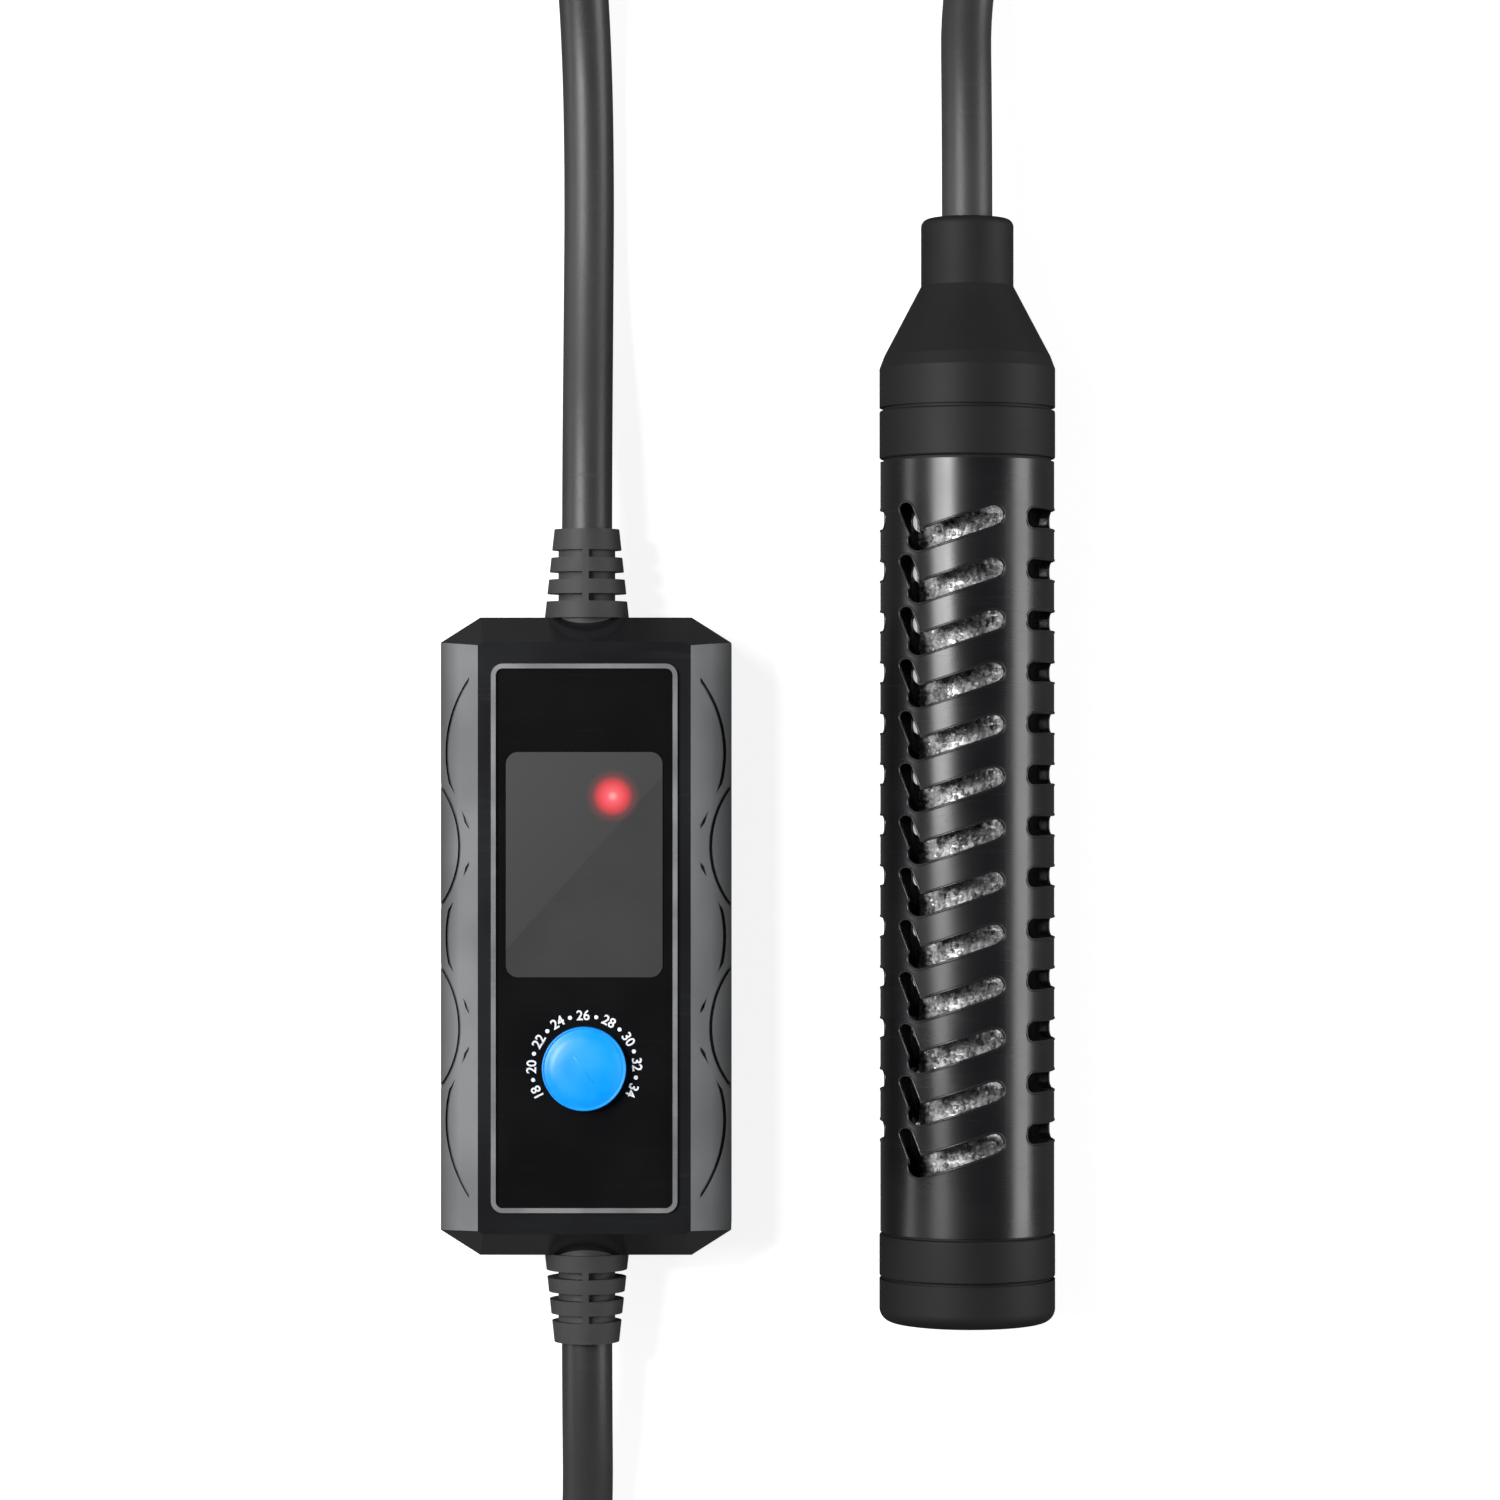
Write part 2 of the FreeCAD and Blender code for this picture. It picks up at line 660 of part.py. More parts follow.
def rear_cover():
    """Back half of the housing: tray with board posts, cord saddles and screw bosses."""
    body = doc.addObject("PartDesign::Body", "rear_tray")
    sketch = body_sketch(body, "rear_outline", "XY_Plane")
    wide, long = "BoxHalfWidth", "BoxHalfLength"
    outline(sketch, [
        (wide, f"{long}-BoxCornerLength"), (f"{wide}-BoxCornerWidth", long),
        (f"BoxCornerWidth-{wide}", long), (f"-{wide}", f"{long}-BoxCornerLength"),
        (f"-{wide}", f"BoxCornerLength-{long}"), (f"BoxCornerWidth-{wide}", f"-{long}"),
        (f"{wide}-BoxCornerWidth", f"-{long}"), (wide, f"BoxCornerLength-{long}")])
    doc.recompute()
    pad = body.newObject("PartDesign::Pad", "rear_block")
    pad.Profile = sketch
    bind(pad, {"Length": "BoxSeam"})
    doc.recompute()
    floor_edges = []
    for index, edge in enumerate(pad.Shape.Edges, start=1):
        if edge.BoundBox.ZMax < NEAR:
            floor_edges.append(f"Edge{index}")
    chamfer = body.newObject("PartDesign::Chamfer", "rear_base_chamfer")
    chamfer.Base = (pad, floor_edges)
    bind(chamfer, {"Size": "BaseChamfer"})
    place(body, ("BoxSide", "BoxMiddle", 0))
    doc.recompute()
    hollow = lofted("rear_hollow", [octagon("rear_hollow_floor", "BoxWall", "BoxWall"),
                                    octagon("rear_hollow_rim", "BoxWall", "BoxSeam")])
    tray = cut("rear_tray_open", body, [hollow])
    inside = uprights("board_post", "PostRadius", "BoxWall", "BoardFoot",
                      corner_spots("PostSide", "PostLength"))
    inside += uprights("cover_boss", "CoverBoss", "BoxWall", "BoxSeam",
                       corner_spots("CoverScrewSide", "CoverScrewMiddle"))
    inside += [block(f"cord_saddle_{k}", "ClampHalfWidth", "ClampHalfLength", "BoxWall", "BoxSeam",
                     ("0", f"{k}*ClampMiddle")) for k in (-1, 1)]
    holes = uprights("post_hole", "PostHole", "BoxWall", "BoardFoot",
                     corner_spots("PostSide", "PostLength"))
    holes += uprights("cover_hole", "CoverScrewRadius", "0", "BoxSeam",
                      corner_spots("CoverScrewSide", "CoverScrewMiddle"))
    holes += uprights("cover_sink", "CoverScrewHead", "0", "CoverScrewSink",
                      corner_spots("CoverScrewSide", "CoverScrewMiddle"))
    holes += uprights("clamp_hole", "ClampScrewRadius", "BoxWall", "BoxSeam",
                      corner_spots("ClampScrewSide", "ClampMiddle"))
    holes += [cord_way("rear_cord_way", "CordRadius")]
    holes += [cylinder(f"rear_entry_{k}", "ReliefNeck", "BoxWall",
                       ("BoxSide", f"BoxMiddle+{k}*BoxHalfLength-({k}+1)/2*BoxWall", "BoxSeam"),
                       UP_ROD) for k in (-1, 1)]
    keep(cut("rear_cover_cut", joined("rear_tray_full", [tray] + inside), holes), "rear_cover")


def grip_grooves():
    """Curved finger-grip lines on both sloping sides: lenses, and ovals that stop short of them."""
    cutters = []
    for side in (-1, 1):
        lenses = []
        for step in (-1, 1):
            centre = (f"BoxSide+{side}*(LensReach+LensRadius)", f"BoxMiddle+{step}*LensOffset",
                      "BoxBevelFoot-GripDepth")
            label = f"lens_{side + 1}_{step + 1}"
            wide = cylinder(label + "_wide", "LensRadius+GripWidth/2", "BoxTop", centre)
            slim = cylinder(label + "_slim", "LensRadius-GripWidth/2", "BoxTop", centre)
            cutters.append(cut(label, wide, [slim]))
            lenses.append(cylinder(label + "_clear", "LensRadius+LensMargin", "BoxTop", centre))
        for step in (-1, 0, 1):
            centre = (f"BoxSide+{side}*(OvalReach-OvalRadius)", f"BoxMiddle+{step}*OvalPitch",
                      "BoxBevelFoot-GripDepth")
            label = f"oval_{side + 1}_{step + 1}"
            wide = cylinder(label + "_wide", "OvalRadius+GripWidth/2", "BoxTop", centre)
            slim = cylinder(label + "_slim", "OvalRadius-GripWidth/2", "BoxTop", centre)
            limit = block(label + "_limit", "OvalReach-OvalEnd", "OvalRadius", "BoxSeam",
                          "2*BoxTop", (f"{side}*OvalReach", f"{step}*OvalPitch"))
            strip = doc.addObject("Part::Common", label + "_strip")
            strip.Base = cut(label + "_ring", wide, [slim])
            strip.Tool = limit
            cutters.append(cut(label, strip, lenses))
    return joined("grip_lines", cutters)


def front_cover():
    """Front half of the housing: sloped sides, flat face with a seat for the panel."""
    shell = lofted("front_block", [
        octagon("front_rim", "0", "BoxSeam"), octagon("front_bevel", "0", "BoxBevelFoot"),
        octagon("front_face", "0", "BoxTop", face=True)])
    under = lofted("front_under", [
        octagon("under_rim", "0", "BoxSeam-GripDepth"),
        octagon("under_bevel", "0", "BoxBevelFoot-GripDepth"),
        octagon("under_face", "0", "BoxTop-GripDepth", face=True)])
    grooves = cut("grip_groove_tools", grip_grooves(), [under])
    hollow = lofted("front_hollow", [
        octagon("hollow_rim", "BoxWall", "BoxSeam"),
        octagon("hollow_bevel", "BoxWall", "BoxBevelFoot-BoxWall/2"),
        octagon("hollow_face", "BoxWall", "BoxTop-BoxWall-RimWidth", face=True)])
    open_shell = cut("front_shell", shell, [hollow])
    pillars = uprights("front_boss", "CoverBoss", "BoxSeam", "CoverBossTop",
                       corner_spots("CoverScrewSide", "CoverScrewMiddle"))
    bosses = doc.addObject("Part::Common", "front_bosses")
    bosses.Base = joined("front_boss_group", pillars)
    bosses.Tool = shell
    seat = rounded_block("panel_seat", "PanelCorner", "PanelHalfWidth", "PanelHalfLength",
                         "PanelSeat", "2*BoxTop")
    holes = [grooves, seat]
    holes += uprights("front_cover_hole", "CoverScrewRadius", "BoxSeam", "CoverScrewTip",
                      corner_spots("CoverScrewSide", "CoverScrewMiddle"))
    holes += uprights("front_lamp_hole", "LampHole", "BoxSeam", "BoxTop",
                      [("LampSide", "LampMiddle")])
    holes += uprights("front_shaft_hole", "PotHole", "BoxSeam", "BoxTop", [("0", "DialMiddle")])
    holes += [cylinder(f"front_entry_{k}", "ReliefNeck", "BoxWall",
                       ("BoxSide", f"BoxMiddle+{k}*BoxHalfLength-({k}+1)/2*BoxWall", "BoxSeam"),
                       UP_ROD) for k in (-1, 1)]
    holes += [cylinder(f"front_flange_seat_{k}", "ReliefFlange", "2*ReliefFlangeThick",
                       ("BoxSide", f"BoxMiddle+{k}*(BoxHalfLength-BoxWall)-ReliefFlangeThick"
                        f"*(1+{k})", "BoxSeam"), UP_ROD) for k in (-1, 1)]
    keep(cut("front_cover_cut", joined("front_full", [open_shell, bosses]), holes), "front_cover")


def cover_gasket():
    """Rubber seal laid in a rebate inside the seam of the two covers."""
    low, high = "BoxSeam-GasketHeight/2", "BoxSeam+GasketHeight/2"
    outer = lofted("gasket_outer", [octagon("gasket_outer_low", "BoxWall", low),
                                    octagon("gasket_outer_high", "BoxWall", high)])
    inner = lofted("gasket_inner", [octagon("gasket_inner_low", "BoxWall+GasketWidth", low),
                                    octagon("gasket_inner_high", "BoxWall+GasketWidth", high)])
    ways = [inner, cord_way("gasket_cord_way", "ReliefFlange")]
    ways += uprights("gasket_boss_way", "CoverBoss", "0", "BoxTop",
                     corner_spots("CoverScrewSide", "CoverScrewMiddle"))
    keep(cut("cover_gasket_cut", outer, ways), "cover_gasket")


# ---- Front panel, window, lamp and dial -----------------------------------------------------

def panel_pieces():
    """Raised rim, black panel, smoked window and signal lamp."""
    outer = rounded_block("rim_outer", "PanelCorner", "PanelHalfWidth", "PanelHalfLength",
                          "PanelSeat", "RimTop")
    inner = rounded_block("rim_inner", "PanelInnerCorner", "PanelHalfWidth-RimWidth",
                          "PanelHalfLength-RimWidth", "PanelSeat", "RimTop")
    keep(cut("panel_rim_cut", outer, [inner]), "panel_rim")
    plate = rounded_block("panel_plate", "PanelInnerCorner", "PanelHalfWidth-RimWidth",
                          "PanelHalfLength-RimWidth", "PanelSeat", "PanelTop")
    opening = rounded_block("panel_opening", "WindowCorner", "WindowHalfWidth",
                            "WindowHalfLength", "PanelSeat", "RimTop", ("0", "WindowMiddle"))
    passage = uprights("panel_passage", "ShaftPassage", "PanelSeat", "RimTop",
                       [("0", "DialMiddle")])
    keep(cut("front_panel_cut", plate, [opening] + passage), "front_panel")
    keep(rounded_block("window_pane", "WindowCorner", "WindowHalfWidth", "WindowHalfLength",
                       "PanelSeat", "WindowTop", ("0", "WindowMiddle")), "display_window")
    stem = uprights("lamp_stem", "LampRadius", "LampFoot", "LampTop-LampRadius",
                    [("LampSide", "LampMiddle")])[0]
    dome = doc.addObject("Part::Sphere", "lamp_dome")
    bind(dome, {"Radius": "LampRadius"})
    place(dome, ("BoxSide+LampSide", "BoxMiddle+LampMiddle", "LampTop-LampRadius"))
    keep(joined("lamp_lens", [stem, dome]), "signal_lamp")
    legs = uprights("lamp_leg", "WireRadius/2", "BoardTop", "LampFoot",
                    [("LampSide-LampRadius/2", "LampMiddle"),
                     ("LampSide+LampRadius/2", "LampMiddle")])
    group("lamp_legs", legs)


def dial_pieces():
    """Knob pressed on the shaft of the rotary control, with the shaft's wiper inside."""
    knob = doc.addObject("PartDesign::Body", "knob_body")
    sketch = body_sketch(knob, "knob_profile", "XZ_Plane")
    outline(sketch, [("0", "KnobTop"), ("KnobRadius", "KnobTop"), ("KnobRadius", "KnobFoot"),
                     ("ShaftRadius", "KnobFoot"), ("ShaftRadius", "ShaftTop"), ("0", "ShaftTop")])
    doc.recompute()
    turning = knob.newObject("PartDesign::Revolution", "knob_turning")
    turning.Profile = sketch
    turning.ReferenceAxis = (sketch, ["V_Axis"])
    turning.Angle = 360
    doc.recompute()
    round_rims(knob, [("KnobRadius", "KnobTop")], "KnobRound", axis=2)
    place(knob, ("BoxSide", "BoxMiddle+DialMiddle", 0))
    keep(knob, "control_knob")
    spot = [("0", "DialMiddle")]
    keep(uprights("dial_shaft", "ShaftRadius", "ShaftFoot", "ShaftTop", spot)[0], "dial_shaft")
    wiper = uprights("wiper_plate", "WiperRadius", "ShaftFoot", "ShaftFoot+WiperThick", spot)[0]
    bore = uprights("wiper_bore", "ShaftRadius", "ShaftFoot", "ShaftTop", spot)
    keep(cut("dial_wiper_cut", wiper, bore), "dial_wiper")
    case = block("pot_case", "PotHalf", "PotHalf", "BoardTop", "PotTop", spot[0])
    bush = uprights("pot_bush", "PotBush", "BoardTop", "PotBushTop", spot)[0]
    cavity = uprights("pot_cavity", "PotCavity", "PotCavityFoot", "PotCavityTop", spot)
    bearing = uprights("pot_bearing", "ShaftRadius+ShaftGap", "PotCavityFoot", "2*BoxTop", spot)
    keep(cut("rotary_control_cut", joined("pot_full", [case, bush]), cavity + bearing),
         "rotary_control")


# ---- Circuit board --------------------------------------------------------------------------

def board_pieces():
    """Circuit board on its posts, with the power and control components soldered on it."""
    plate = block("board_plate", "BoardHalfWidth", "BoardHalfLength", "BoardFoot", "BoardTop")
    holes = uprights("board_hole", "PostHole", "0", "BoxTop", corner_spots("PostSide", "PostLength"))
    keep(cut("circuit_board_cut", plate, holes), "circuit_board")
    screws = []
    for k, spot in enumerate(corner_spots("PostSide", "PostLength")):
        head = uprights(f"board_screw_head_{k}", "ScrewHead", "BoardTop",
                        "BoardTop+ScrewHeadHeight", [spot])
        shank = uprights(f"board_screw_shank_{k}", "PostHole", "BoxWall", "BoardTop", [spot])
        screws.append(joined(f"board_screw_{k}", head + shank))
    group("board_screws", screws)
    keep(block("relay_case", "RelayHalfWidth", "RelayHalfLength", "BoardTop", "RelayTop",
               ("RelaySide", "RelayMiddle")), "relay")
    keep(block("film_case", "FilmHalfWidth", "FilmHalfLength", "BoardTop", "FilmTop",
               ("FilmSide", "FilmMiddle")), "film_capacitor")
    keep(uprights("can_capacitor_can", "CanRadius", "BoardTop", "BoardTop+CanHeight",
                  [("CanSide", "CanMiddle")])[0], "can_capacitor")
    keep(cylinder("cartridge", "CartridgeRadius", "2*CartridgeHalfLength",
                  ("BoxSide+CartridgeSide", "BoxMiddle+CartridgeMiddle-CartridgeHalfLength",
                   "CartridgeHeight"), UP_ROD), "board_fuse")
    keep(block("chip_case", "ChipHalf", "ChipHalf", "BoardTop", "BoardTop+ChipThick",
               ("0", "ChipMiddle")), "control_chip")
    for name, way in (("heater_terminals", 1), ("mains_terminals", -1)):
        keep(block(name + "_case", "TerminalHalfWidth", "TerminalHalfLength", "BoardTop",
                   "TerminalTop", ("0", f"{way}*TerminalMiddle")), name)


# ---- Cord entries ---------------------------------------------------------------------------

def strain_relief(name, way):
    """Moulded rubber relief: slotted taper outside, neck in the wall and a flange behind it."""
    turn = UP_ROD if way > 0 else DOWN_ROD
    axis = ("BoxSide", "BoxMiddle", "BoxSeam")

    def station(formula):
        return (axis[0], f"{axis[1]}+{way}*({formula})", axis[2])

    taper = doc.addObject("Part::Cone", name + "_taper")
    bind(taper, {"Radius1": "ReliefWide", "Radius2": "ReliefNarrow", "Height": "ReliefLength"})
    place(taper, station("BoxHalfLength"), turn)
    neck = cylinder(name + "_neck", "ReliefNeck", "BoxWall", station("BoxHalfLength-BoxWall"), turn)
    flange = cylinder(name + "_flange", "ReliefFlange", "ReliefFlangeThick",
                      station("BoxHalfLength-BoxWall-ReliefFlangeThick"), turn)
    tools = [cylinder(name + "_bore", "CordRadius", "ReliefLength+3*BoxWall+ReliefFlangeThick",
                      station("BoxHalfLength-2*BoxWall-ReliefFlangeThick"), turn)]
    for line in range(int(amount_of("ReliefSlots"))):
        height = f"BoxHalfLength+ReliefSlotFirst+{line}*ReliefSlotPitch-ReliefSlotPitch/2"
        band = cylinder(f"{name}_slot_{line}", "2*ReliefWide", "ReliefSlotTall", station(height), turn)
        core = cylinder(f"{name}_floor_{line}", "ReliefFloor", "ReliefSlotTall", station(height), turn)
        rib = doc.addObject("Part::Box", f"{name}_rib_{line}")
        bind(rib, {"Length": "2*ReliefRib", "Width": "ReliefSlotTall", "Height": "4*ReliefWide"})
        low = "0" if way > 0 else "-ReliefSlotTall"
        place(rib, (f"{axis[0]}-ReliefRib", f"{axis[1]}+{way}*({height})+({low})",
                    f"{axis[2]}-2*ReliefWide"))
        tools.append(cut(f"{name}_gap_{line}", band, [core, rib]))
    keep(cut(name + "_cut", joined(name + "_full", [taper, neck, flange]), tools), name)


def cord_clamp(name, way):
    """Bar screwed down over the cord just inside the housing."""
    spot = ("0", f"{way}*ClampMiddle")
    bar = block(name + "_bar", "ClampHalfWidth", "ClampHalfLength", "BoxSeam", "ClampTop", spot)
    holes = uprights(name + "_hole", "ClampScrewRadius", "BoxSeam", "2*BoxTop",
                     [(f"{x}*ClampScrewSide", spot[1]) for x in (-1, 1)])
    keep(cut(name + "_cut", bar, [cord_way(name + "_way", "CordRadius")] + holes), name)


def housing_screws():
    """Clamp screws from above and cover screws from the back, each set alike."""
    clamp_screws = []
    for k, spot in enumerate(corner_spots("ClampScrewSide", "ClampMiddle")):
        head = uprights(f"clamp_screw_head_{k}", "ScrewHead", "ClampTop",
                        "ClampTop+ScrewHeadHeight", [spot])
        shank = uprights(f"clamp_screw_shank_{k}", "ClampScrewRadius", "BoxWall", "ClampTop", [spot])
        clamp_screws.append(joined(f"clamp_screw_{k}", head + shank))
    group("clamp_screws", clamp_screws)
    cover_screws = []
    for k, spot in enumerate(corner_spots("CoverScrewSide", "CoverScrewMiddle")):
        head = uprights(f"cover_screw_head_{k}", "CoverScrewHead", "BaseChamfer", "CoverScrewSink",
                        [spot])
        shank = uprights(f"cover_screw_shank_{k}", "CoverScrewRadius", "CoverScrewSink",
                         "CoverScrewTip", [spot])
        cover_screws.append(joined(f"cover_screw_{k}", head + shank))
    group("cover_screws", cover_screws)


def inner_strands(name, way):
    """Insulated cores from the end of a cord's sheath to its terminal block."""
    start = "BoxHalfLength-CordInside"
    strands = []
    for k in (-1, 0, 1):
        strand = cylinder(f"{name}_{k + 1}", "StrandRadius",
                          f"{start}-TerminalMiddle-TerminalHalfLength",
                          (f"BoxSide+{k}*StrandSpread", f"BoxMiddle+{way}*({start})", "StrandHeight"),
                          DOWN_ROD if way > 0 else UP_ROD)
        strands.append(strand)
    group(name, strands)


# ---- Free cords -----------------------------------------------------------------------------

def cord_path(points):
    """Straight runs joined by tangent arcs, as large as the runs allow."""
    corners = [Vector(*point) for point in points]
    edges = []
    start = corners[0]
    radii = []
    for before, corner, after in zip(corners, corners[1:], corners[2:]):
        run_in = corner - before
        run_out = after - corner
        half_turn = run_in.getAngle(run_out) / 2
        reach = 0.45 * min(run_in.Length, run_out.Length)
        radii.append(reach / math.tan(half_turn))
        way_in = run_in.normalize()
        way_out = run_out.normalize()
        enter = corner - way_in * reach
        leave = corner + way_out * reach
        towards = (way_out - way_in).normalize()
        middle = corner + towards * radii[-1] * (1 / math.cos(half_turn) - 1)
        edges.append(Part.LineSegment(start, enter).toShape())
        edges.append(Part.Arc(enter, middle, leave).toShape())
        start = leave
    edges.append(Part.LineSegment(start, corners[-1]).toShape())
    return Part.Wire(edges), radii


def cord_tube(name, points):
    """Round cord along a path that isn't coiled."""
    path, radii = cord_path(points)
    radius = amount_of("CordRadius")
    section = Part.Wire(Part.makeCircle(radius, Vector(*points[0]), path.Edges[0].tangentAt(0)))
    tube = doc.addObject("Part::Feature", name + "_tube")
    tube.Shape = path.makePipeShell([section], True, False)
    expected = math.pi * radius ** 2 * path.Length
    print(name, "length", round(path.Length, 1), "least radius", round(min(radii), 1),
          "volume ratio", round(tube.Shape.Volume / expected, 4))
    keep(tube, name)


def cord_coil(name, side, middle):
    """Outer shape of a stored coil: two turns side by side and one riding on them."""
    spot = (side, middle, "0")
    flat_outer = cylinder(name + "_flat", "CoilTurn+CordRadius", "2*CordRadius", spot)
    flat_inner = cylinder(name + "_eye", "CoilTurn-3*CordRadius", "2*CordRadius", spot)
    high_outer = cylinder(name + "_high", "CoilTurn", "CoilRiding+2*CordRadius", spot)
    high_inner = cylinder(name + "_high_eye", "CoilTurn-2*CordRadius", "CoilRiding+2*CordRadius",
                          spot)
    keep(joined(name + "_rings", [cut(name + "_flat_ring", flat_outer, [flat_inner]),
                                  cut(name + "_high_ring", high_outer, [high_inner])]), name)


HEATER_CORD = [
    (35.0, 81.0, 14.05), (35.0, 104.0, 14.05), (35.0, 129.8, 6.2), (41.8, 147.5, 4.05),
    (48.65, 163.95, 4.05)]
LINK_CORD = [
    (-32.65, 179.0, 11.06), (-32.5, 166.5, 11.8), (-30.6, 151.0, 12.9), (-27.0, 133.5, 8.7),
    (-26.1, 116.0, 4.3), (-25.8, 97.0, 4.05), (-25.9, 78.0, 4.7), (-25.9, 46.0, 13.0),
    (-25.9, 13.6, 13.0)]
MAINS_CORD = [
    (-25.9, -63.2, 13.0), (-25.9, -95.6, 13.0), (-25.9, -122.0, 4.6), (-28.4, -140.0, 4.05),
    (-33.35, -153.95, 4.05)]
PLUG_CORD = [
    (-36.0, -169.0, 12.15), (-36.3, -181.0, 12.6), (-35.8, -193.0, 13.2), (-36.0, -205.0, 13.0)]


# ---- Mains plug -----------------------------------------------------------------------------

def oval(name, half_width, half_height, station):
    """Upright ellipse across the plug."""
    ring = doc.addObject("Part::Ellipse", name)
    bind(ring, {"MajorRadius": half_width, "MinorRadius": half_height})
    place(ring, ("PlugSide", station, "PlugHeight"), DOWN_ROD)
    return ring


def plug_pieces():
    """Moulded plug with its cord relief and two half-insulated pins."""
    shell = doc.addObject("Part::Loft", "plug_shell")
    shell.Sections = [
        oval("plug_back", "PlugBackRadius", "PlugBackRadius-PlugOval", "PlugBack"),
        oval("plug_waist", "PlugHalfWidth-BoxWall", "PlugHalfHeight-BoxWall", "PlugWaist"),
        oval("plug_face", "PlugHalfWidth", "PlugHalfHeight", "PlugFace")]
    shell.Solid = True
    sides = ("-PinSpread", "PinSpread")
    pins = []
    seats = []
    for index, side in enumerate(sides):
        foot = (f"PlugSide+({side})", "PlugFace", "PlugHeight")
        tip = (f"PlugSide+({side})", "PlugFace-PinLength", "PlugHeight")
        root = cylinder(f"pin_root_{index}", "PinRootRadius", "PinSeat", foot, UP_ROD)
        seats.append(cylinder(f"pin_seat_{index}", "PinRootRadius", "PinSeat", foot, UP_ROD))
        bare = cylinder(f"pin_bare_{index}", "PinRadius", "PinLength", tip, UP_ROD)
        pins.append(joined(f"pin_{index}", [root, bare]))
    keep(cut("plug_body_cut", shell, seats), "plug_body")
    group("plug_pins", pins)
    relief = doc.addObject("Part::Cone", "plug_relief_taper")
    bind(relief, {"Radius1": "PlugBackRadius", "Radius2": "PlugReliefRadius",
                  "Height": "PlugReliefTop-PlugBack"})
    place(relief, ("PlugSide", "PlugBack", "PlugHeight"), UP_ROD)
    bore = cylinder("plug_relief_bore", "CordRadius", "PlugReliefTop-PlugBack",
                    ("PlugSide", "PlugBack+(PlugReliefTop-PlugBack)/2", "PlugHeight"), UP_ROD)
    keep(cut("plug_relief_cut", relief, [bore]), "plug_relief")


gland_cap()
cord_bush()
collar("upper_collar", "CollarTop", "CapFoot", "CollarFoot", "SleeveTop",
       "SleeveTop-SpigotLength")
guard_sleeve()
collar("lower_collar", "FootCollarEnd", "EndCapTop", "FootCollarTop", "SleeveFoot",
       "SleeveFoot+SpigotLength")
end_cap()
quartz_tube()
rod_seal()
ring_about_rod("end_cushion", "0", "TubeRadius-TubeRound", "EndCapFoot+EndCapFloor", "TubeFoot")
ring_about_rod("quartz_sand", "SandBore", "TubeBore", "SandFoot", "SandTop")
ring_about_rod("lower_disc", "CoreBore/2", "TubeBore", "SandFoot-DiscThick", "SandFoot")
ring_about_rod("upper_disc", "CoreBore/2", "TubeBore", "SandTop", "SandTop+DiscThick")
ring_about_rod("ceramic_core", "CoreBore", "CoreRadius", "SandFoot", "SandTop")
heating_winding()
return_wire()
tube_stopper()
rod_leads()
sleeves_on_leads()
rear_cover()
front_cover()
cover_gasket()
panel_pieces()
dial_pieces()
board_pieces()
for relief_name, clamp_name, strand_name, way in (
        ("upper_relief", "upper_cord_clamp", "heater_strands", 1),
        ("lower_relief", "lower_cord_clamp", "mains_strands", -1)):
    strain_relief(relief_name, way)
    cord_clamp(clamp_name, way)
    inner_strands(strand_name, way)
housing_screws()
cord_tube("heater_cord", HEATER_CORD)
cord_coil("heater_coil", "HeaterCoilSide", "HeaterCoilMiddle")
cord_tube("link_cord", LINK_CORD)
cord_tube("mains_cord", MAINS_CORD)
cord_coil("mains_coil", "MainsCoilSide", "MainsCoilMiddle")
cord_tube("plug_cord", PLUG_CORD)
plug_pieces()

doc.recompute()
for thing in doc.Objects:
    troubles = [mark for mark in thing.State if mark in ("Invalid", "Error")]
    if troubles:
        raise RuntimeError(f"{thing.Label}: {troubles}")
os.makedirs("parts", exist_ok=True)
for name, thing in nodes.items():
    shape = thing.Shape
    if shape.isNull() or not shape.isValid():
        raise RuntimeError(f"{name}: shape is null or not valid")
    shape.exportStep(f"parts/{name}.step")
print(len(nodes), "nodes")
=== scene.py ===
import math
import random

import bmesh
import bpy
from mathutils import Euler, Matrix, Vector


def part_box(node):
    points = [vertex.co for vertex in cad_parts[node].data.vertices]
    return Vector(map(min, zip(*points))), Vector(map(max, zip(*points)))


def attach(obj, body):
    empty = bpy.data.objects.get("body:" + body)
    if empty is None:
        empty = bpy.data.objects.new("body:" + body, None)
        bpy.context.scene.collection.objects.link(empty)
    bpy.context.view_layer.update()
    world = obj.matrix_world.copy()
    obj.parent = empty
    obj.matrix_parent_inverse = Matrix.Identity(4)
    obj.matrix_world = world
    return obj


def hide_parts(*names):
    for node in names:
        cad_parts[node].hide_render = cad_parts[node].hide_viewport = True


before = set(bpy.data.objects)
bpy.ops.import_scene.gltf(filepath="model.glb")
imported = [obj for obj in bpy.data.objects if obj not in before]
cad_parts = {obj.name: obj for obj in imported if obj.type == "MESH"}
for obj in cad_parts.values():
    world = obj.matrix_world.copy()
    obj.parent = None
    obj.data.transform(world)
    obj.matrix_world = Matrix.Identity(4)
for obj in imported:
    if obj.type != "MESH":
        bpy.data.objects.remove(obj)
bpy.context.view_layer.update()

mm = 0.001


# Studio. A pale table seen from straight above under a dark ceiling, with soft boxes to the left
# and right of the rod that draw the bright lines along it.
scene = bpy.context.scene
scene.view_settings.view_transform = "Standard"
camera_middle = (0.24 * mm, 4.88 * mm)
camera_height = 0.771
camera_angle = math.radians(18.02)
camera_data = bpy.data.cameras.new("copy_stand_camera")
camera_data.sensor_width = 36
camera_data.lens = camera_data.sensor_width / 2 / math.tan(camera_angle / 2)
camera_data.clip_start = 0.05
camera_data.clip_end = 20
camera = bpy.data.objects.new("copy_stand_camera", camera_data)
camera.location = (*camera_middle, camera_height)
scene.collection.objects.link(camera)
scene.camera = camera


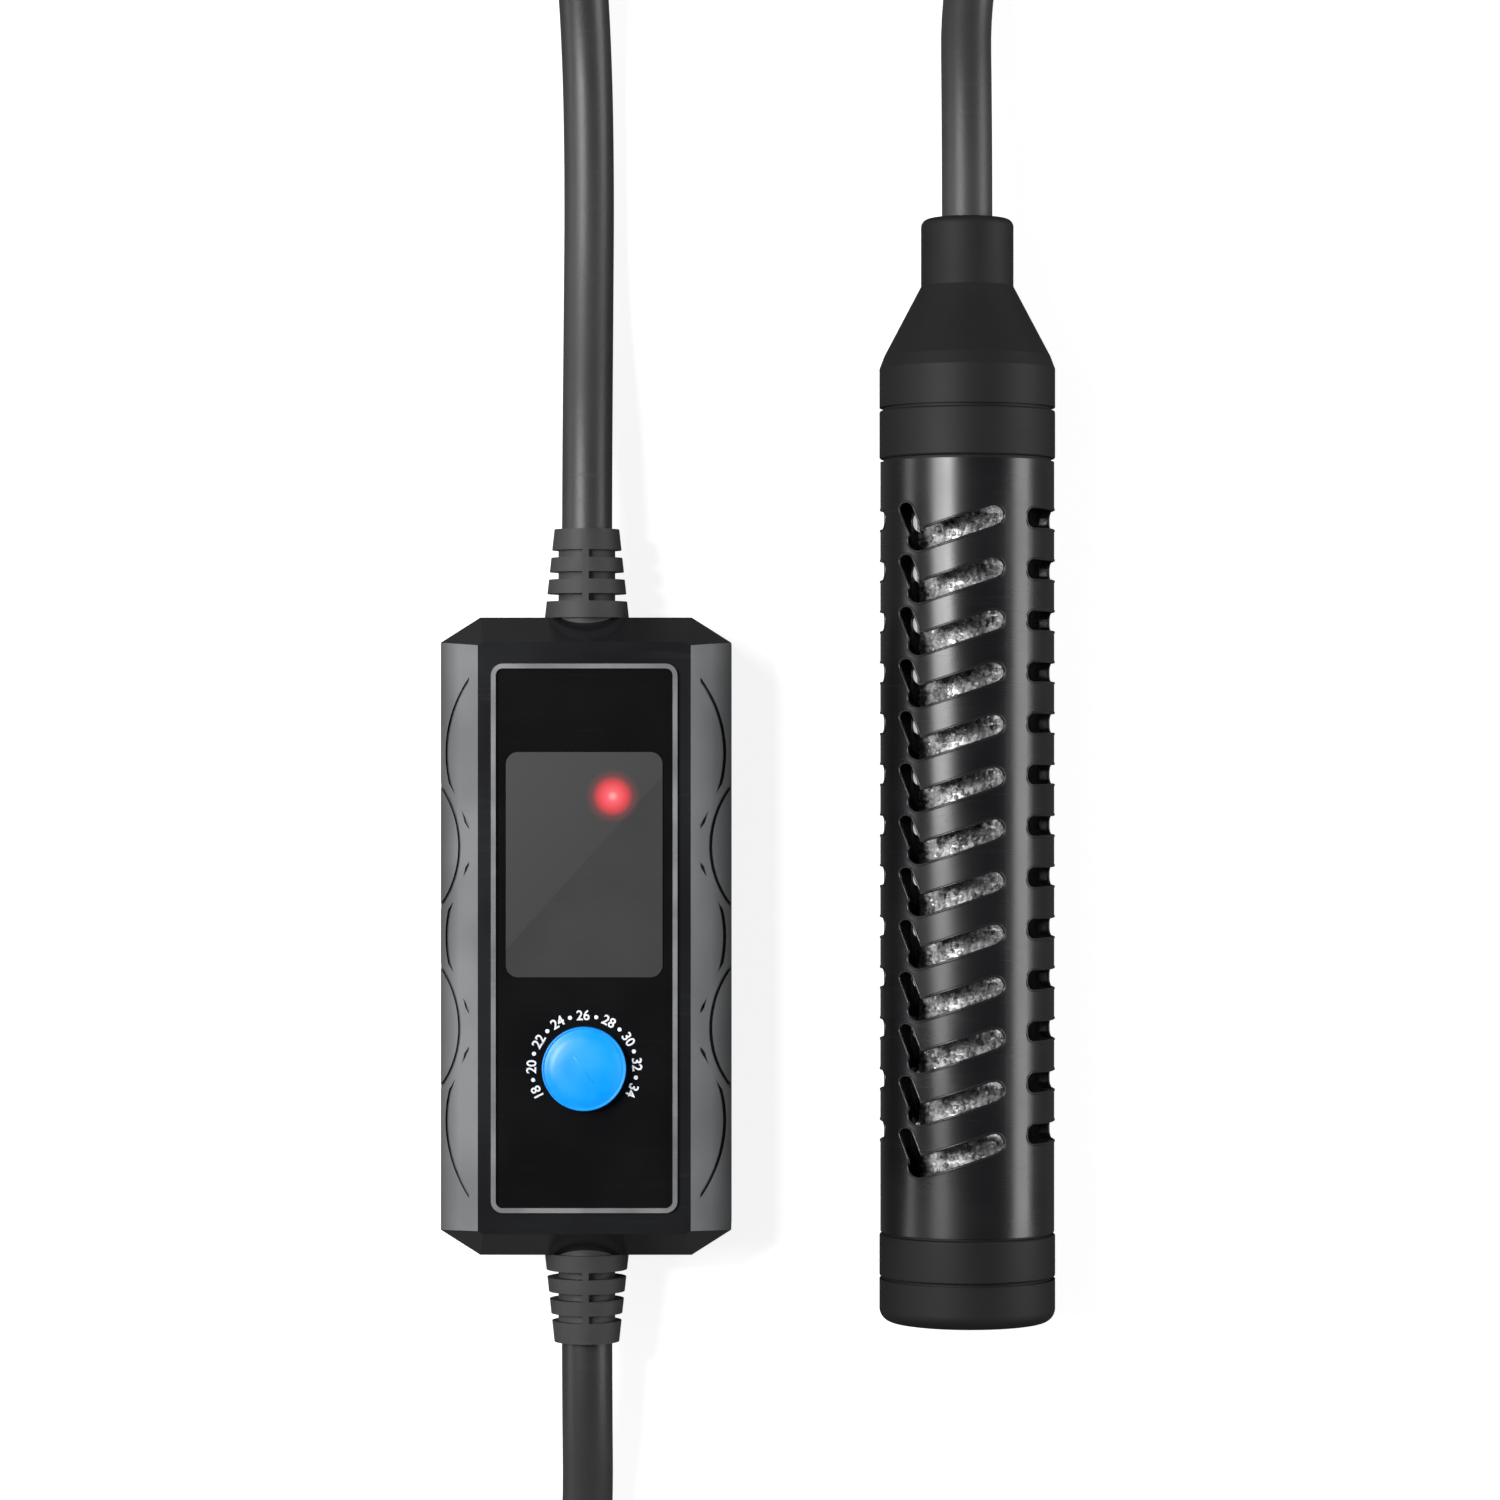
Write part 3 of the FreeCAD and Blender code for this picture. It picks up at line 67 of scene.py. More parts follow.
def add_node(tree, kind, inputs=None, **settings):
    """A shader node with its settings, its fixed inputs and its links."""
    node = tree.nodes.new("ShaderNode" + kind)
    for name, value in settings.items():
        setattr(node, name, value)
    for name, value in (inputs or {}).items():
        if isinstance(value, bpy.types.NodeSocket):
            tree.links.new(value, node.inputs[name])
        else:
            node.inputs[name].default_value = value
    return node


def ramp(tree, factor, *stops):
    """A colour ramp through the given (place, colour) stops."""
    node = add_node(tree, "ValToRGB", {"Fac": factor})
    elements = node.color_ramp.elements
    while len(elements) < len(stops):
        elements.new(0.5)
    for element, (place, colour) in zip(elements, stops):
        element.position = place
        element.color = (*colour, 1)
    return node.outputs["Color"]


room = bpy.data.worlds.new("studio_air")
room.use_nodes = True
room_tree = room.node_tree
room_way = add_node(room_tree, "TexCoord").outputs["Generated"]
room_height = add_node(room_tree, "SeparateXYZ", {"Vector": room_way}).outputs["Z"]
room_glow = ramp(room_tree, room_height, (0.0, (0.75, 0.78, 0.8)), (0.35, (0.5, 0.52, 0.54)),
                 (0.7, (0.05, 0.05, 0.055)), (1.0, (0.03, 0.03, 0.033)))
room_tree.links.new(room_glow, room_tree.nodes["Background"].inputs["Color"])
room_tree.nodes["Background"].inputs["Strength"].default_value = 0.5
scene.world = room


def add_piece(name, mesh):
    """A new object at the origin that shows this mesh."""
    piece = bpy.data.objects.new(name, mesh)
    scene.collection.objects.link(piece)
    return piece


def finish_mesh(name, build, smooth=True):
    """Turns a bmesh into a mesh datablock."""
    mesh = bpy.data.meshes.new(name)
    bmesh.ops.recalc_face_normals(build, faces=build.faces)
    build.to_mesh(mesh)
    build.free()
    if smooth:
        mesh.shade_smooth()
    return mesh


table_half = 3.0
table_gap = 0.05 * mm
table_build = bmesh.new()
bmesh.ops.create_grid(table_build, x_segments=1, y_segments=1, size=table_half)
bmesh.ops.translate(table_build, verts=table_build.verts, vec=(0, 0, -table_gap))
table = add_piece("table_top", finish_mesh("table_top", table_build))
table_finish = bpy.data.materials.new("pale_table")
table_finish.use_nodes = True
table_tree = table_finish.node_tree
table_shader = table_tree.nodes["Principled BSDF"]
table_seen = add_node(table_tree, "LightPath").outputs["Is Camera Ray"]
table_glow = add_node(table_tree, "MapRange", {"Value": table_seen, "To Min": 0.04,
                                               "To Max": 0.88})
table_shade = add_node(table_tree, "Mix", {0: table_seen, 6: (0.06, 0.06, 0.06, 1),
                                           7: (0.40, 0.40, 0.40, 1)}, data_type="RGBA")
table_tree.links.new(table_shade.outputs[2], table_shader.inputs["Base Color"])
table_tree.links.new(table_glow.outputs["Result"], table_shader.inputs["Emission Strength"])
table_shader.inputs["Roughness"].default_value = 0.9
table_shader.inputs["Emission Color"].default_value = (1, 1, 1, 1)
table.data.materials.append(table_finish)


def soft_box(name, lean, reach, width, length, power, shift=0.0):
    """A soft box beside the rod, leaning from overhead by an angle and aimed at the part."""
    lamp = bpy.data.lights.new(name, "AREA")
    lamp.shape = "RECTANGLE"
    lamp.size = width
    lamp.size_y = length
    lamp.energy = power
    stand = bpy.data.objects.new(name, lamp)
    angle = math.radians(lean)
    stand.location = (math.sin(angle) * reach, shift, math.cos(angle) * reach)
    stand.rotation_euler = (0, angle, 0)
    scene.collection.objects.link(stand)


soft_box("left_box", -36, 1.0, 0.34, 0.6, 9, shift=0.22)
soft_box("right_box", 74, 1.0, 0.42, 0.9, 7, shift=0.1)
soft_box("left_wash", -84, 1.1, 0.3, 1.0, 2.5)
soft_box("grain_spot", -24, 1.0, 0.10, 0.08, 3, shift=0.15)


# Shared surface effect: what moulding, handling and dust do to any surface. It gives a colour
# that drifts and speckles, a roughness that drifts, and the height of a fine grain.
def surface_effect():
    """The node group for moulded grain, drift and hairline scratches."""
    tree = bpy.data.node_groups.new("surface_life", "ShaderNodeTree")
    sides = [("Vector", "NodeSocketVector", "INPUT"), ("Base", "NodeSocketColor", "INPUT"),
             ("Tint", "NodeSocketColor", "INPUT"), ("Rough", "NodeSocketFloat", "INPUT"),
             ("Spread", "NodeSocketFloat", "INPUT"), ("Grain", "NodeSocketFloat", "INPUT"),
             ("Drift", "NodeSocketFloat", "INPUT"), ("Color", "NodeSocketColor", "OUTPUT"),
             ("Roughness", "NodeSocketFloat", "OUTPUT"), ("Height", "NodeSocketFloat", "OUTPUT")]
    for name, kind, side in sides:
        tree.interface.new_socket(name=name, socket_type=kind, in_out=side)
    entry = tree.nodes.new("NodeGroupInput")
    leave = tree.nodes.new("NodeGroupOutput")
    grain = add_node(tree, "TexNoise", {"Vector": entry.outputs["Vector"],
                                        "Scale": entry.outputs["Grain"], "Detail": 3.0,
                                        "Roughness": 0.6})
    drift = add_node(tree, "TexNoise", {"Vector": entry.outputs["Vector"],
                                        "Scale": entry.outputs["Drift"], "Detail": 2.0})
    stretch = add_node(tree, "Mapping", {"Vector": entry.outputs["Vector"],
                                         "Rotation": (0.3, 0.5, 0.7), "Scale": (1, 18, 1)})
    lines = add_node(tree, "TexNoise", {"Vector": stretch.outputs["Vector"],
                                        "Scale": entry.outputs["Drift"], "Detail": 6.0,
                                        "Roughness": 0.75})
    rub = add_node(tree, "MapRange", {"Value": lines.outputs["Fac"], "From Min": 0.56,
                                      "From Max": 0.70, "To Min": 0.0, "To Max": 0.55})
    shade = add_node(tree, "MapRange", {"Value": drift.outputs["Fac"], "From Min": 0.35,
                                        "From Max": 0.65, "To Min": 0.0, "To Max": 0.8})
    worn = add_node(tree, "Math", {0: shade.outputs["Result"], 1: rub.outputs["Result"]},
                    operation="ADD", use_clamp=True)
    colour = add_node(tree, "Mix", {0: worn.outputs["Value"], 6: entry.outputs["Base"],
                                    7: entry.outputs["Tint"]}, data_type="RGBA")
    offset = add_node(tree, "Math", {0: worn.outputs["Value"], 1: entry.outputs["Spread"],
                                     2: entry.outputs["Rough"]}, operation="MULTIPLY_ADD")
    tree.links.new(colour.outputs[2], leave.inputs["Color"])
    tree.links.new(offset.outputs["Value"], leave.inputs["Roughness"])
    tree.links.new(grain.outputs["Fac"], leave.inputs["Height"])
    return tree


surface_life = surface_effect()


def material(name, base, tint, rough, spread=0.1, grain=1.0, drift=14.0, bump=0.02, metal=0.0,
             ior=1.5):
    """A procedural finish. Grain and drift are feature sizes and bump a depth, in mm."""
    finish = bpy.data.materials.new(name)
    finish.use_nodes = True
    tree = finish.node_tree
    shader = tree.nodes["Principled BSDF"]
    place = add_node(tree, "TexCoord").outputs["Object"]
    life = add_node(tree, "Group", node_tree=surface_life)
    tree.links.new(place, life.inputs["Vector"])
    values = {"Base": (*base, 1), "Tint": (*tint, 1), "Rough": rough, "Spread": spread,
              "Grain": 1 / (grain * mm), "Drift": 1 / (drift * mm)}
    for socket, value in values.items():
        life.inputs[socket].default_value = value
    relief = add_node(tree, "Bump", {"Height": life.outputs["Height"], "Distance": bump * mm,
                                     "Strength": 1.0})
    tree.links.new(life.outputs["Color"], shader.inputs["Base Color"])
    tree.links.new(life.outputs["Roughness"], shader.inputs["Roughness"])
    tree.links.new(relief.outputs["Normal"], shader.inputs["Normal"])
    shader.inputs["Metallic"].default_value = metal
    shader.inputs["IOR"].default_value = ior
    return finish


def cover(finish, *names):
    """Gives CAD nodes a finish."""
    for name in names:
        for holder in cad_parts[name].material_slots:
            holder.material = finish


# Heater cord. Black rubber flex from the rod's gland to the controller. What isn't needed lies
# wound in a round coil beyond the gland, two turns flat and half a turn riding on them.
cord_diameter = 8.1 * mm
turn_radius = 44.0 * mm
flat_height = 4.05 * mm
crossing_height = 12.15 * mm
nested_height = 11.06 * mm
points_per_turn = 18
turn_angle = 2 * math.pi / points_per_turn
# Degrees wound when each change in a coil's lie starts and ends.
move_inward = (270, 370)
climb = (600, 680)
cross_middle = (722, 820)
sink_between = (740, 830)
rise_again = (870, 940)
move_outward = (880, 955)
heater_cord_out = [
    (35.0, 81.0, 14.05), (35.0, 104.0, 14.05), (35.0, 129.8, 6.2), (41.8, 147.5, 4.05)]
heater_coil_centre = (7.3, 179.0)
heater_coil_start = -20
heater_coil_sweep = 920
link_cord_in = [
    (-32.5, 166.5, 11.8), (-30.6, 151.0, 12.9), (-27.0, 133.5, 8.7), (-26.1, 116.0, 4.3),
    (-25.8, 97.0, 4.05), (-25.9, 78.0, 4.7), (-25.9, 46.0, 13.0), (-25.9, 13.6, 13.0)]


def eased(value, start, end):
    """0 before start, 1 after end, smooth between."""
    share = min(max((value - start) / (end - start), 0), 1)
    return share * share * (3 - 2 * share)


def coil_points(centre, first_angle, sweep, shift_out=False):
    """Control points of a coil: outer flat turn, inner flat turn, then a turn riding on both."""
    spread = 1 / math.cos(turn_angle / 2)
    count = round(math.radians(sweep) / turn_angle)
    points = []
    for step in range(count + 1):
        turned = step * sweep / count
        inward = cord_diameter * (eased(turned, *move_inward)
                                  - 0.5 * eased(turned, *cross_middle))
        radius = turn_radius - inward
        height = flat_height + (crossing_height - flat_height) * eased(turned, *climb)
        height -= (crossing_height - nested_height) * eased(turned, *sink_between)
        if shift_out:
            radius += cord_diameter / 2 * eased(turned, *move_outward)
            height += (crossing_height - nested_height) * eased(turned, *rise_again)
        angle = math.radians(first_angle + turned)
        points.append((centre[0] * mm + radius * spread * math.cos(angle),
                       centre[1] * mm + radius * spread * math.sin(angle), height))
    return points


def in_metres(points):
    """Route points given in millimetres."""
    return [tuple(value * mm for value in point) for point in points]


def flex(name, points):
    """A round cord on one smooth spline."""
    line = bpy.data.curves.new(name, "CURVE")
    line.dimensions = "3D"
    spline = line.splines.new("NURBS")
    spline.points.add(len(points) - 1)
    for point, spot in zip(spline.points, points):
        point.co = (*spot, 1)
    spline.order_u = 3
    spline.use_endpoint_u = True
    spline.resolution_u = 8
    line.bevel_depth = cord_diameter / 2
    line.bevel_resolution = 6
    line.use_fill_caps = True
    return add_piece(name, line)


def spline_length(piece):
    """Length of a cord's own line."""
    line = piece.data.copy()
    line.bevel_depth = 0
    probe = bpy.data.objects.new("length_probe", line)
    mesh = bpy.data.meshes.new_from_object(probe)
    total = sum((mesh.vertices[e.vertices[0]].co - mesh.vertices[e.vertices[1]].co).length
                for e in mesh.edges)
    bpy.data.objects.remove(probe)
    return total


strap_outline = [
    (-13.2, 1.4), (-13.2, 7.6), (-10.6, 12.6), (-7.8, 16.2), (-4.0, 16.2), (-0.4, 16.2),
    (2.4, 12.6), (5.1, 7.6), (5.1, 1.4), (2.2, 0.2), (-4.0, 0.2), (-10.4, 0.2)]
strap_half_width = 2.2 * mm
strap_round = 0.3 * mm
strap_lift = 0.35 * mm


def coil_tie(name, centre, bearing):
    """A flat rubber strap drawn round the three strands of a coil."""
    strap = bpy.data.curves.new(name, "CURVE")
    strap.dimensions = "2D"
    strap.fill_mode = "NONE"
    loop = strap.splines.new("NURBS")
    loop.points.add(len(strap_outline) - 1)
    for point, (outward, height) in zip(loop.points, strap_outline):
        point.co = (outward * mm, height * mm, 0, 1)
    loop.order_u = 3
    loop.use_cyclic_u = True
    loop.resolution_u = 6
    strap.extrude = strap_half_width
    strap.bevel_depth = strap_round
    strap.bevel_resolution = 2
    probe = bpy.data.objects.new(name, strap)
    mesh = bpy.data.meshes.new_from_object(probe)
    bpy.data.objects.remove(probe)
    mesh.transform(Matrix.Translation((centre[0] * mm, centre[1] * mm, strap_lift))
                   @ Matrix.Rotation(math.radians(bearing), 4, "Z")
                   @ Matrix.Translation((turn_radius, 0, 0))
                   @ Matrix.Rotation(math.pi / 2, 4, "X"))
    mesh.shade_smooth()
    return add_piece(name, mesh)


flex_rubber = material("flex_rubber", (0.026, 0.026, 0.027), (0.040, 0.040, 0.042), 0.38,
                       spread=0.12, grain=0.7, drift=30.0, bump=0.03)
heater_flex = flex("heater_flex", in_metres(heater_cord_out)
                   + coil_points(heater_coil_centre, heater_coil_start, heater_coil_sweep)
                   + in_metres(link_cord_in))
heater_flex.data.materials.append(flex_rubber)
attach(heater_flex, "root")
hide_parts("heater_cord", "heater_coil", "link_cord")


# Mains cord. The same flex from the foot of the controller to the plug, wound in a coil of
# three turns beyond the controller, with the plug lying beside it.
mains_cord_out = [
    (-25.9, -63.2, 13.0), (-25.9, -95.6, 13.0), (-25.9, -122.0, 4.6), (-28.4, -140.0, 4.05)]
mains_coil_centre = (8.0, -169.0)
mains_coil_start = 160
mains_coil_sweep = 1100
plug_cord_in = [(-36.3, -181.0, 12.6), (-35.8, -193.0, 13.2), (-36.0, -205.0, 13.0)]
mains_flex = flex("mains_flex", in_metres(mains_cord_out)
                  + coil_points(mains_coil_centre, mains_coil_start, mains_coil_sweep,
                                shift_out=True)
                  + in_metres(plug_cord_in))
mains_flex.data.materials.append(flex_rubber)
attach(mains_flex, "root")
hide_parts("mains_cord", "mains_coil", "plug_cord")


# Coil ties. Flat rubber straps, drawn round the strands of each coil as it is packed.
tie_rubber = material("tie_rubber", (0.012, 0.012, 0.013), (0.022, 0.022, 0.023), 0.55,
                      grain=0.4, drift=6.0, bump=0.03)
heater_ties = [coil_tie("heater_tie_far", heater_coil_centre, 95),
               coil_tie("heater_tie_near", heater_coil_centre, 28)]
mains_ties = [coil_tie("mains_tie_far", mains_coil_centre, -90),
              coil_tie("mains_tie_near", mains_coil_centre, 18)]
for tie in heater_ties + mains_ties:
    tie.data.materials.append(tie_rubber)
    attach(tie, "root")

spline_length(heater_flex)
spline_length(mains_flex)


# Gland cap, collars and end cap. Satin black nylon mouldings that screw together over the ends
# of the quartz tube, with a thin shadow line where each meets the next.
satin_nylon = material("satin_nylon", (0.007, 0.007, 0.0075), (0.010, 0.010, 0.011), 0.58,
                       spread=0.08, grain=0.35, drift=22.0, bump=0.012, ior=1.34)
cover(satin_nylon, "gland_cap", "upper_collar", "lower_collar", "end_cap")
bush_rubber = material("bush_rubber", (0.018, 0.018, 0.019), (0.030, 0.030, 0.031), 0.62,
                       grain=0.5, drift=5.0, bump=0.03)
cover(bush_rubber, "cord_bush", "rod_seal", "end_cushion", "tube_stopper", "cover_gasket")


# Guard sleeve. A glossy black tube round the hot quartz. Check-mark slots in front and behind
# and level slots at the sides let the water through. Its outside is polished.
gloss_guard = material("gloss_guard", (0.007, 0.007, 0.008), (0.011, 0.011, 0.012), 0.25,
                       spread=0.08, grain=0.9, drift=18.0, bump=0.004)
cover(gloss_guard, "guard_sleeve")


# Slot lips. The rounded edge that the mould leaves round each slot of the guard, which catches
# a thin line of light.
guard_radius = 13.9
lip_radius = 0.24
lip_sink = 0.10
slot_rows = 13
check_vertex = -8.2
long_arm = (16.0, 3.5, 18.4)
short_arm = (7.7, 2.2, 110.5)
level_width = 3.4
level_round = 1.3
lip_spacing = 1.0
# Where a row of slots starts across the guard, its first row and its pitch along the guard.
check_rows = (check_vertex, 37.9, 8.24)
level_rows = (0, 41.6, 8.12)


def arc(centre, radius, start, end, steps=6):
    """Points along an arc, in mm, between two angles in degrees."""
    angles = [math.radians(start + (end - start) * i / steps) for i in range(steps + 1)]
    return [centre + radius * Vector((math.cos(angle), math.sin(angle))) for angle in angles]


def check_outline():
    """The closed outline of one check-mark slot about its vertex, clockwise, in mm."""
    def direction(angle):
        return Vector((math.cos(math.radians(angle)), math.sin(math.radians(angle))))

    reach, width, lean = long_arm
    rise, slim, steep = short_arm
    along, up = direction(lean), direction(steep)
    tip, top = along * (reach - width), up * (rise - slim)
    wide, thin = width / 2, slim / 2
    side = direction(lean + 90) * wide
    edge = direction(steep - 90) * thin
    gap = edge - side
    turn = along.x * up.y - along.y * up.x
    inner = side + along * ((gap.x * up.y - gap.y * up.x) / turn)
    meet = steep + math.degrees(math.asin(thin / wide))
    return ([inner] + arc(tip, wide, lean + 90, lean - 90)
            + arc(Vector((0, 0)), wide, lean - 90, meet - 360, steps=10)
            + arc(top, thin, steep + 90, steep - 90))


def level_outline(length):
    """The closed outline of one level slot about its middle, clockwise, in mm."""
    points = []
    for quarter, (across, up) in enumerate([(1, 1), (1, -1), (-1, -1), (-1, 1)]):
        centre = Vector((across * (length / 2 - level_round),
                         up * (level_width / 2 - level_round)))
        points += arc(centre, level_round, 90 - 90 * quarter, -90 * quarter)
    return points


def subdivided(points, longest):
    """The closed outline with extra points so that no side is longer than this."""
    fine = []
    for start, end in zip(points, points[1:] + points[:1]):
        count = max(1, math.ceil((end - start).length / longest))
        fine += [start.lerp(end, i / count) for i in range(count)]
    return fine


front_column = (0, check_outline(), *check_rows)
back_column = (196, check_outline(), *check_rows)
right_column = (73.5, level_outline(15.3), *level_rows)
left_column = (-96.5, level_outline(11.1), *level_rows)
lips_line = bpy.data.curves.new("slot_lips", "CURVE")
lips_line.dimensions = "3D"
rod_axis = Vector((35.0, 0, 14.05))
lip_shrink = (guard_radius - lip_sink) / guard_radius
for bearing, slot_shape, slot_start, first_row, slot_pitch in (
        front_column, back_column, right_column, left_column):
    slot_line = subdivided(slot_shape, lip_spacing)
    turned = Matrix.Rotation(math.radians(bearing), 4, "Y")
    for row in range(slot_rows):
        lip = lips_line.splines.new("POLY")
        lip.points.add(len(slot_line) - 1)
        for point, spot in zip(lip.points, slot_line):
            across = slot_start + spot.x
            height = math.sqrt(guard_radius ** 2 - across ** 2)
            local = Vector((across * lip_shrink, first_row - row * slot_pitch + spot.y,
                            height * lip_shrink))
            point.co = (*((turned @ local + rod_axis) * mm), 1)
        lip.use_cyclic_u = True
lips_line.bevel_depth = lip_radius * mm
lips_line.bevel_resolution = 1
slot_lips = add_piece("slot_lips", lips_line)
lips_line.materials.append(material("gloss_lip", (0.010, 0.010, 0.011), (0.016, 0.016, 0.017),
                                    0.20, grain=0.6, drift=9.0, bump=0.004))
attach(slot_lips, "root")


# Quartz tube. Clear fused quartz, so thin-walled that it shows mostly as a gloss over the sand.
clear_quartz = material("clear_quartz", (0.02, 0.02, 0.022), (0.05, 0.05, 0.055), 0.04,
                        spread=0.05, grain=3.0, drift=11.0, bump=0.01, ior=1.9)
clear_tree = clear_quartz.node_tree
quartz_edge = add_node(clear_tree, "LayerWeight", {"Blend": 0.35})
quartz_veil = add_node(clear_tree, "MapRange", {"Value": quartz_edge.outputs["Facing"],
                                                "To Min": 0.05, "To Max": 0.6})
clear_tree.links.new(quartz_veil.outputs["Result"],
                     clear_tree.nodes["Principled BSDF"].inputs["Alpha"])
cover(clear_quartz, "quartz_tube")


# Quartz sand. Crushed silver-grey grains, packed round the ceramic core to carry its heat to
# the glass. The outer layer is seen through the slots.
sand_low, sand_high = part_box("quartz_sand")
sand_centre = Vector(((sand_low[0] + sand_high[0]) / 2, 0, (sand_low[2] + sand_high[2]) / 2))
sand_radius = (sand_high[0] - sand_low[0]) / 2
sand_length = sand_high[1] - sand_low[1]
sand_kinds = 5
grain_size = 0.62 * mm
grain_step = 1.02 * mm
shake = random.Random(11)
sand_build = bmesh.new()
packed_radius = sand_radius - grain_size * 1.5
bmesh.ops.create_cone(
    sand_build, cap_ends=True, segments=48, radius1=packed_radius, radius2=packed_radius,
    depth=sand_length,
    matrix=Matrix.Translation(sand_centre + Vector((0, sand_low[1] + sand_length / 2, 0)))
    @ Matrix.Rotation(math.pi / 2, 4, "X"))
around = int(2 * math.pi * (sand_radius - grain_size) / grain_step)
sand_rings = []
for kind in range(sand_kinds):
    ring_build = bmesh.new()
    for place in range(around):
        bearing = 2 * math.pi * (place + shake.uniform(-0.3, 0.3)) / around
        reach = sand_radius - grain_size * shake.uniform(1.0, 1.35)
        spot = Vector((math.cos(bearing) * reach, shake.uniform(-0.3, 0.3) * grain_step,
                       math.sin(bearing) * reach))
        turn = Euler([shake.uniform(0, math.pi) for _ in range(3)]).to_matrix().to_4x4()
        shape = Matrix.Diagonal([shake.uniform(0.62, 1.0) for _ in range(3)] + [1])
        bmesh.ops.create_icosphere(ring_build, subdivisions=1, radius=grain_size,
                                   matrix=Matrix.Translation(spot) @ turn @ shape)
    ring_mesh = bpy.data.meshes.new("sand_ring")
    ring_build.to_mesh(ring_mesh)
    ring_build.free()
    sand_rings.append(ring_mesh)
ring_count = int((sand_length - 2 * grain_size) / grain_step)
for ring in range(ring_count):
    layer = sand_rings[ring % len(sand_rings)].copy()
    spot = sand_centre + Vector((0, sand_low[1] + grain_size + (ring + 0.3) * grain_step, 0))
    layer.transform(Matrix.Translation(spot)
                    @ Matrix.Rotation(shake.uniform(0, 2 * math.pi), 4, "Y"))
    sand_build.from_mesh(layer)
crushed_sand = add_piece("crushed_sand", finish_mesh("crushed_sand", sand_build, smooth=False))
sand_finish = bpy.data.materials.new("crushed_quartz")
sand_finish.use_nodes = True
sand_tree = sand_finish.node_tree
sand_shader = sand_tree.nodes["Principled BSDF"]
sand_place = add_node(sand_tree, "TexCoord").outputs["Object"]
sand_cells = add_node(sand_tree, "TexVoronoi", {"Vector": sand_place, "Scale": 900.0})
sand_spread = add_node(sand_tree, "SeparateColor", {"Color": sand_cells.outputs["Color"]})
sand_colour = ramp(sand_tree, sand_spread.outputs["Red"], (0.0, (0.22, 0.22, 0.22)),
                   (0.30, (0.55, 0.55, 0.55)), (0.65, (0.90, 0.90, 0.91)),
                   (1.0, (1.0, 1.0, 1.0)))
sand_fine = add_node(sand_tree, "TexNoise", {"Vector": sand_place, "Scale": 2600.0})
sand_gloss = add_node(sand_tree, "MapRange", {"Value": sand_fine.outputs["Fac"],
                                              "To Min": 0.12, "To Max": 0.5})
sand_relief = add_node(sand_tree, "Bump", {"Height": sand_fine.outputs["Fac"],
                                           "Distance": 0.08 * mm})
sand_tree.links.new(sand_colour, sand_shader.inputs["Base Color"])
sand_tree.links.new(sand_gloss.outputs["Result"], sand_shader.inputs["Roughness"])
sand_tree.links.new(sand_relief.outputs["Normal"], sand_shader.inputs["Normal"])
sand_shader.inputs["Metallic"].default_value = 0.15
sand_shader.inputs["IOR"].default_value = 2.0
crushed_sand.data.materials.append(sand_finish)
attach(crushed_sand, "root")
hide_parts("quartz_sand")


# Heating element. Resistance wire wound on a steatite core between two ceramic discs, with
# fibreglass-sleeved leads crimped to its ends.
steatite = material("steatite", (0.72, 0.69, 0.62), (0.60, 0.57, 0.50), 0.6, grain=0.25,
                    drift=4.0, bump=0.02)
cover(steatite, "ceramic_core", "upper_disc", "lower_disc")
heater_alloy = material("heater_alloy", (0.42, 0.40, 0.38), (0.26, 0.22, 0.24), 0.32, grain=0.2,
                        drift=3.0, bump=0.006, metal=1.0)
cover(heater_alloy, "heating_winding", "return_wire")
lead_sleeve = material("lead_sleeve", (0.62, 0.60, 0.54), (0.48, 0.46, 0.40), 0.75, grain=0.15,
                       drift=2.0, bump=0.05)
cover(lead_sleeve, "rod_leads")
tinned_metal = material("tinned_metal", (0.62, 0.62, 0.60), (0.48, 0.48, 0.46), 0.28, grain=0.3,
                        drift=2.5, bump=0.008, metal=1.0)
cover(tinned_metal, "crimp_sleeves", "temperature_sensor", "thermal_cutout", "lamp_legs")


# Controller housing. Two gloss ABS halves with a lengthwise seam. The sloping sides are satin,
# with a painted grey sheen on their colour that fades to painted shade toward the foot, and
# curved grip lines cut into them.
def first_node(tree, kind):
    """The first node of this kind in a finish."""
    return [node for node in tree.nodes if node.type == kind][0]


gloss_abs = material("gloss_abs", (0.010, 0.010, 0.011), (0.016, 0.017, 0.018), 0.16,
                     spread=0.08, grain=0.6, drift=26.0, bump=0.006)
abs_tree = gloss_abs.node_tree
abs_shader = abs_tree.nodes["Principled BSDF"]
abs_facing = add_node(abs_tree, "NewGeometry").outputs["Normal"]
abs_across = add_node(abs_tree, "SeparateXYZ", {"Vector": abs_facing})
abs_side = add_node(abs_tree, "Math", {0: abs_across.outputs["X"]}, operation="ABSOLUTE")
# Mask of the sloping sides. It makes them rougher and carries the painted sheen.
abs_satin_and_sheen = add_node(abs_tree, "MapRange", {"Value": abs_side.outputs["Value"], "From Min": 0.62,
                                            "From Max": 0.74})
abs_life = first_node(abs_tree, "GROUP")
abs_place = first_node(abs_tree, "TEX_COORD").outputs["Object"]
abs_cloud = add_node(abs_tree, "TexNoise", {"Vector": abs_place, "Scale": 70.0, "Detail": 1.0})
# Painted sheen: a light grey on the sides that stands in for reflected light.
abs_painted_sheen = ramp(abs_tree, abs_cloud.outputs["Fac"], (0.35, (0.155, 0.160, 0.166)),
                (0.65, (0.210, 0.214, 0.216)))
abs_height = add_node(abs_tree, "SeparateXYZ", {"Vector": abs_place}).outputs["Z"]
# Painted shade: the sheen darkens toward the foot of the sides.
abs_painted_shade = add_node(abs_tree, "MapRange", {"Value": abs_height, "From Min": 17 * mm,
                                           "From Max": 21 * mm, "To Min": 0.35, "To Max": 1.0})
abs_shaded_sheen = add_node(abs_tree, "Mix", {0: abs_painted_shade.outputs["Result"], 6: (0, 0, 0, 1),
                                      7: abs_painted_sheen}, data_type="RGBA")
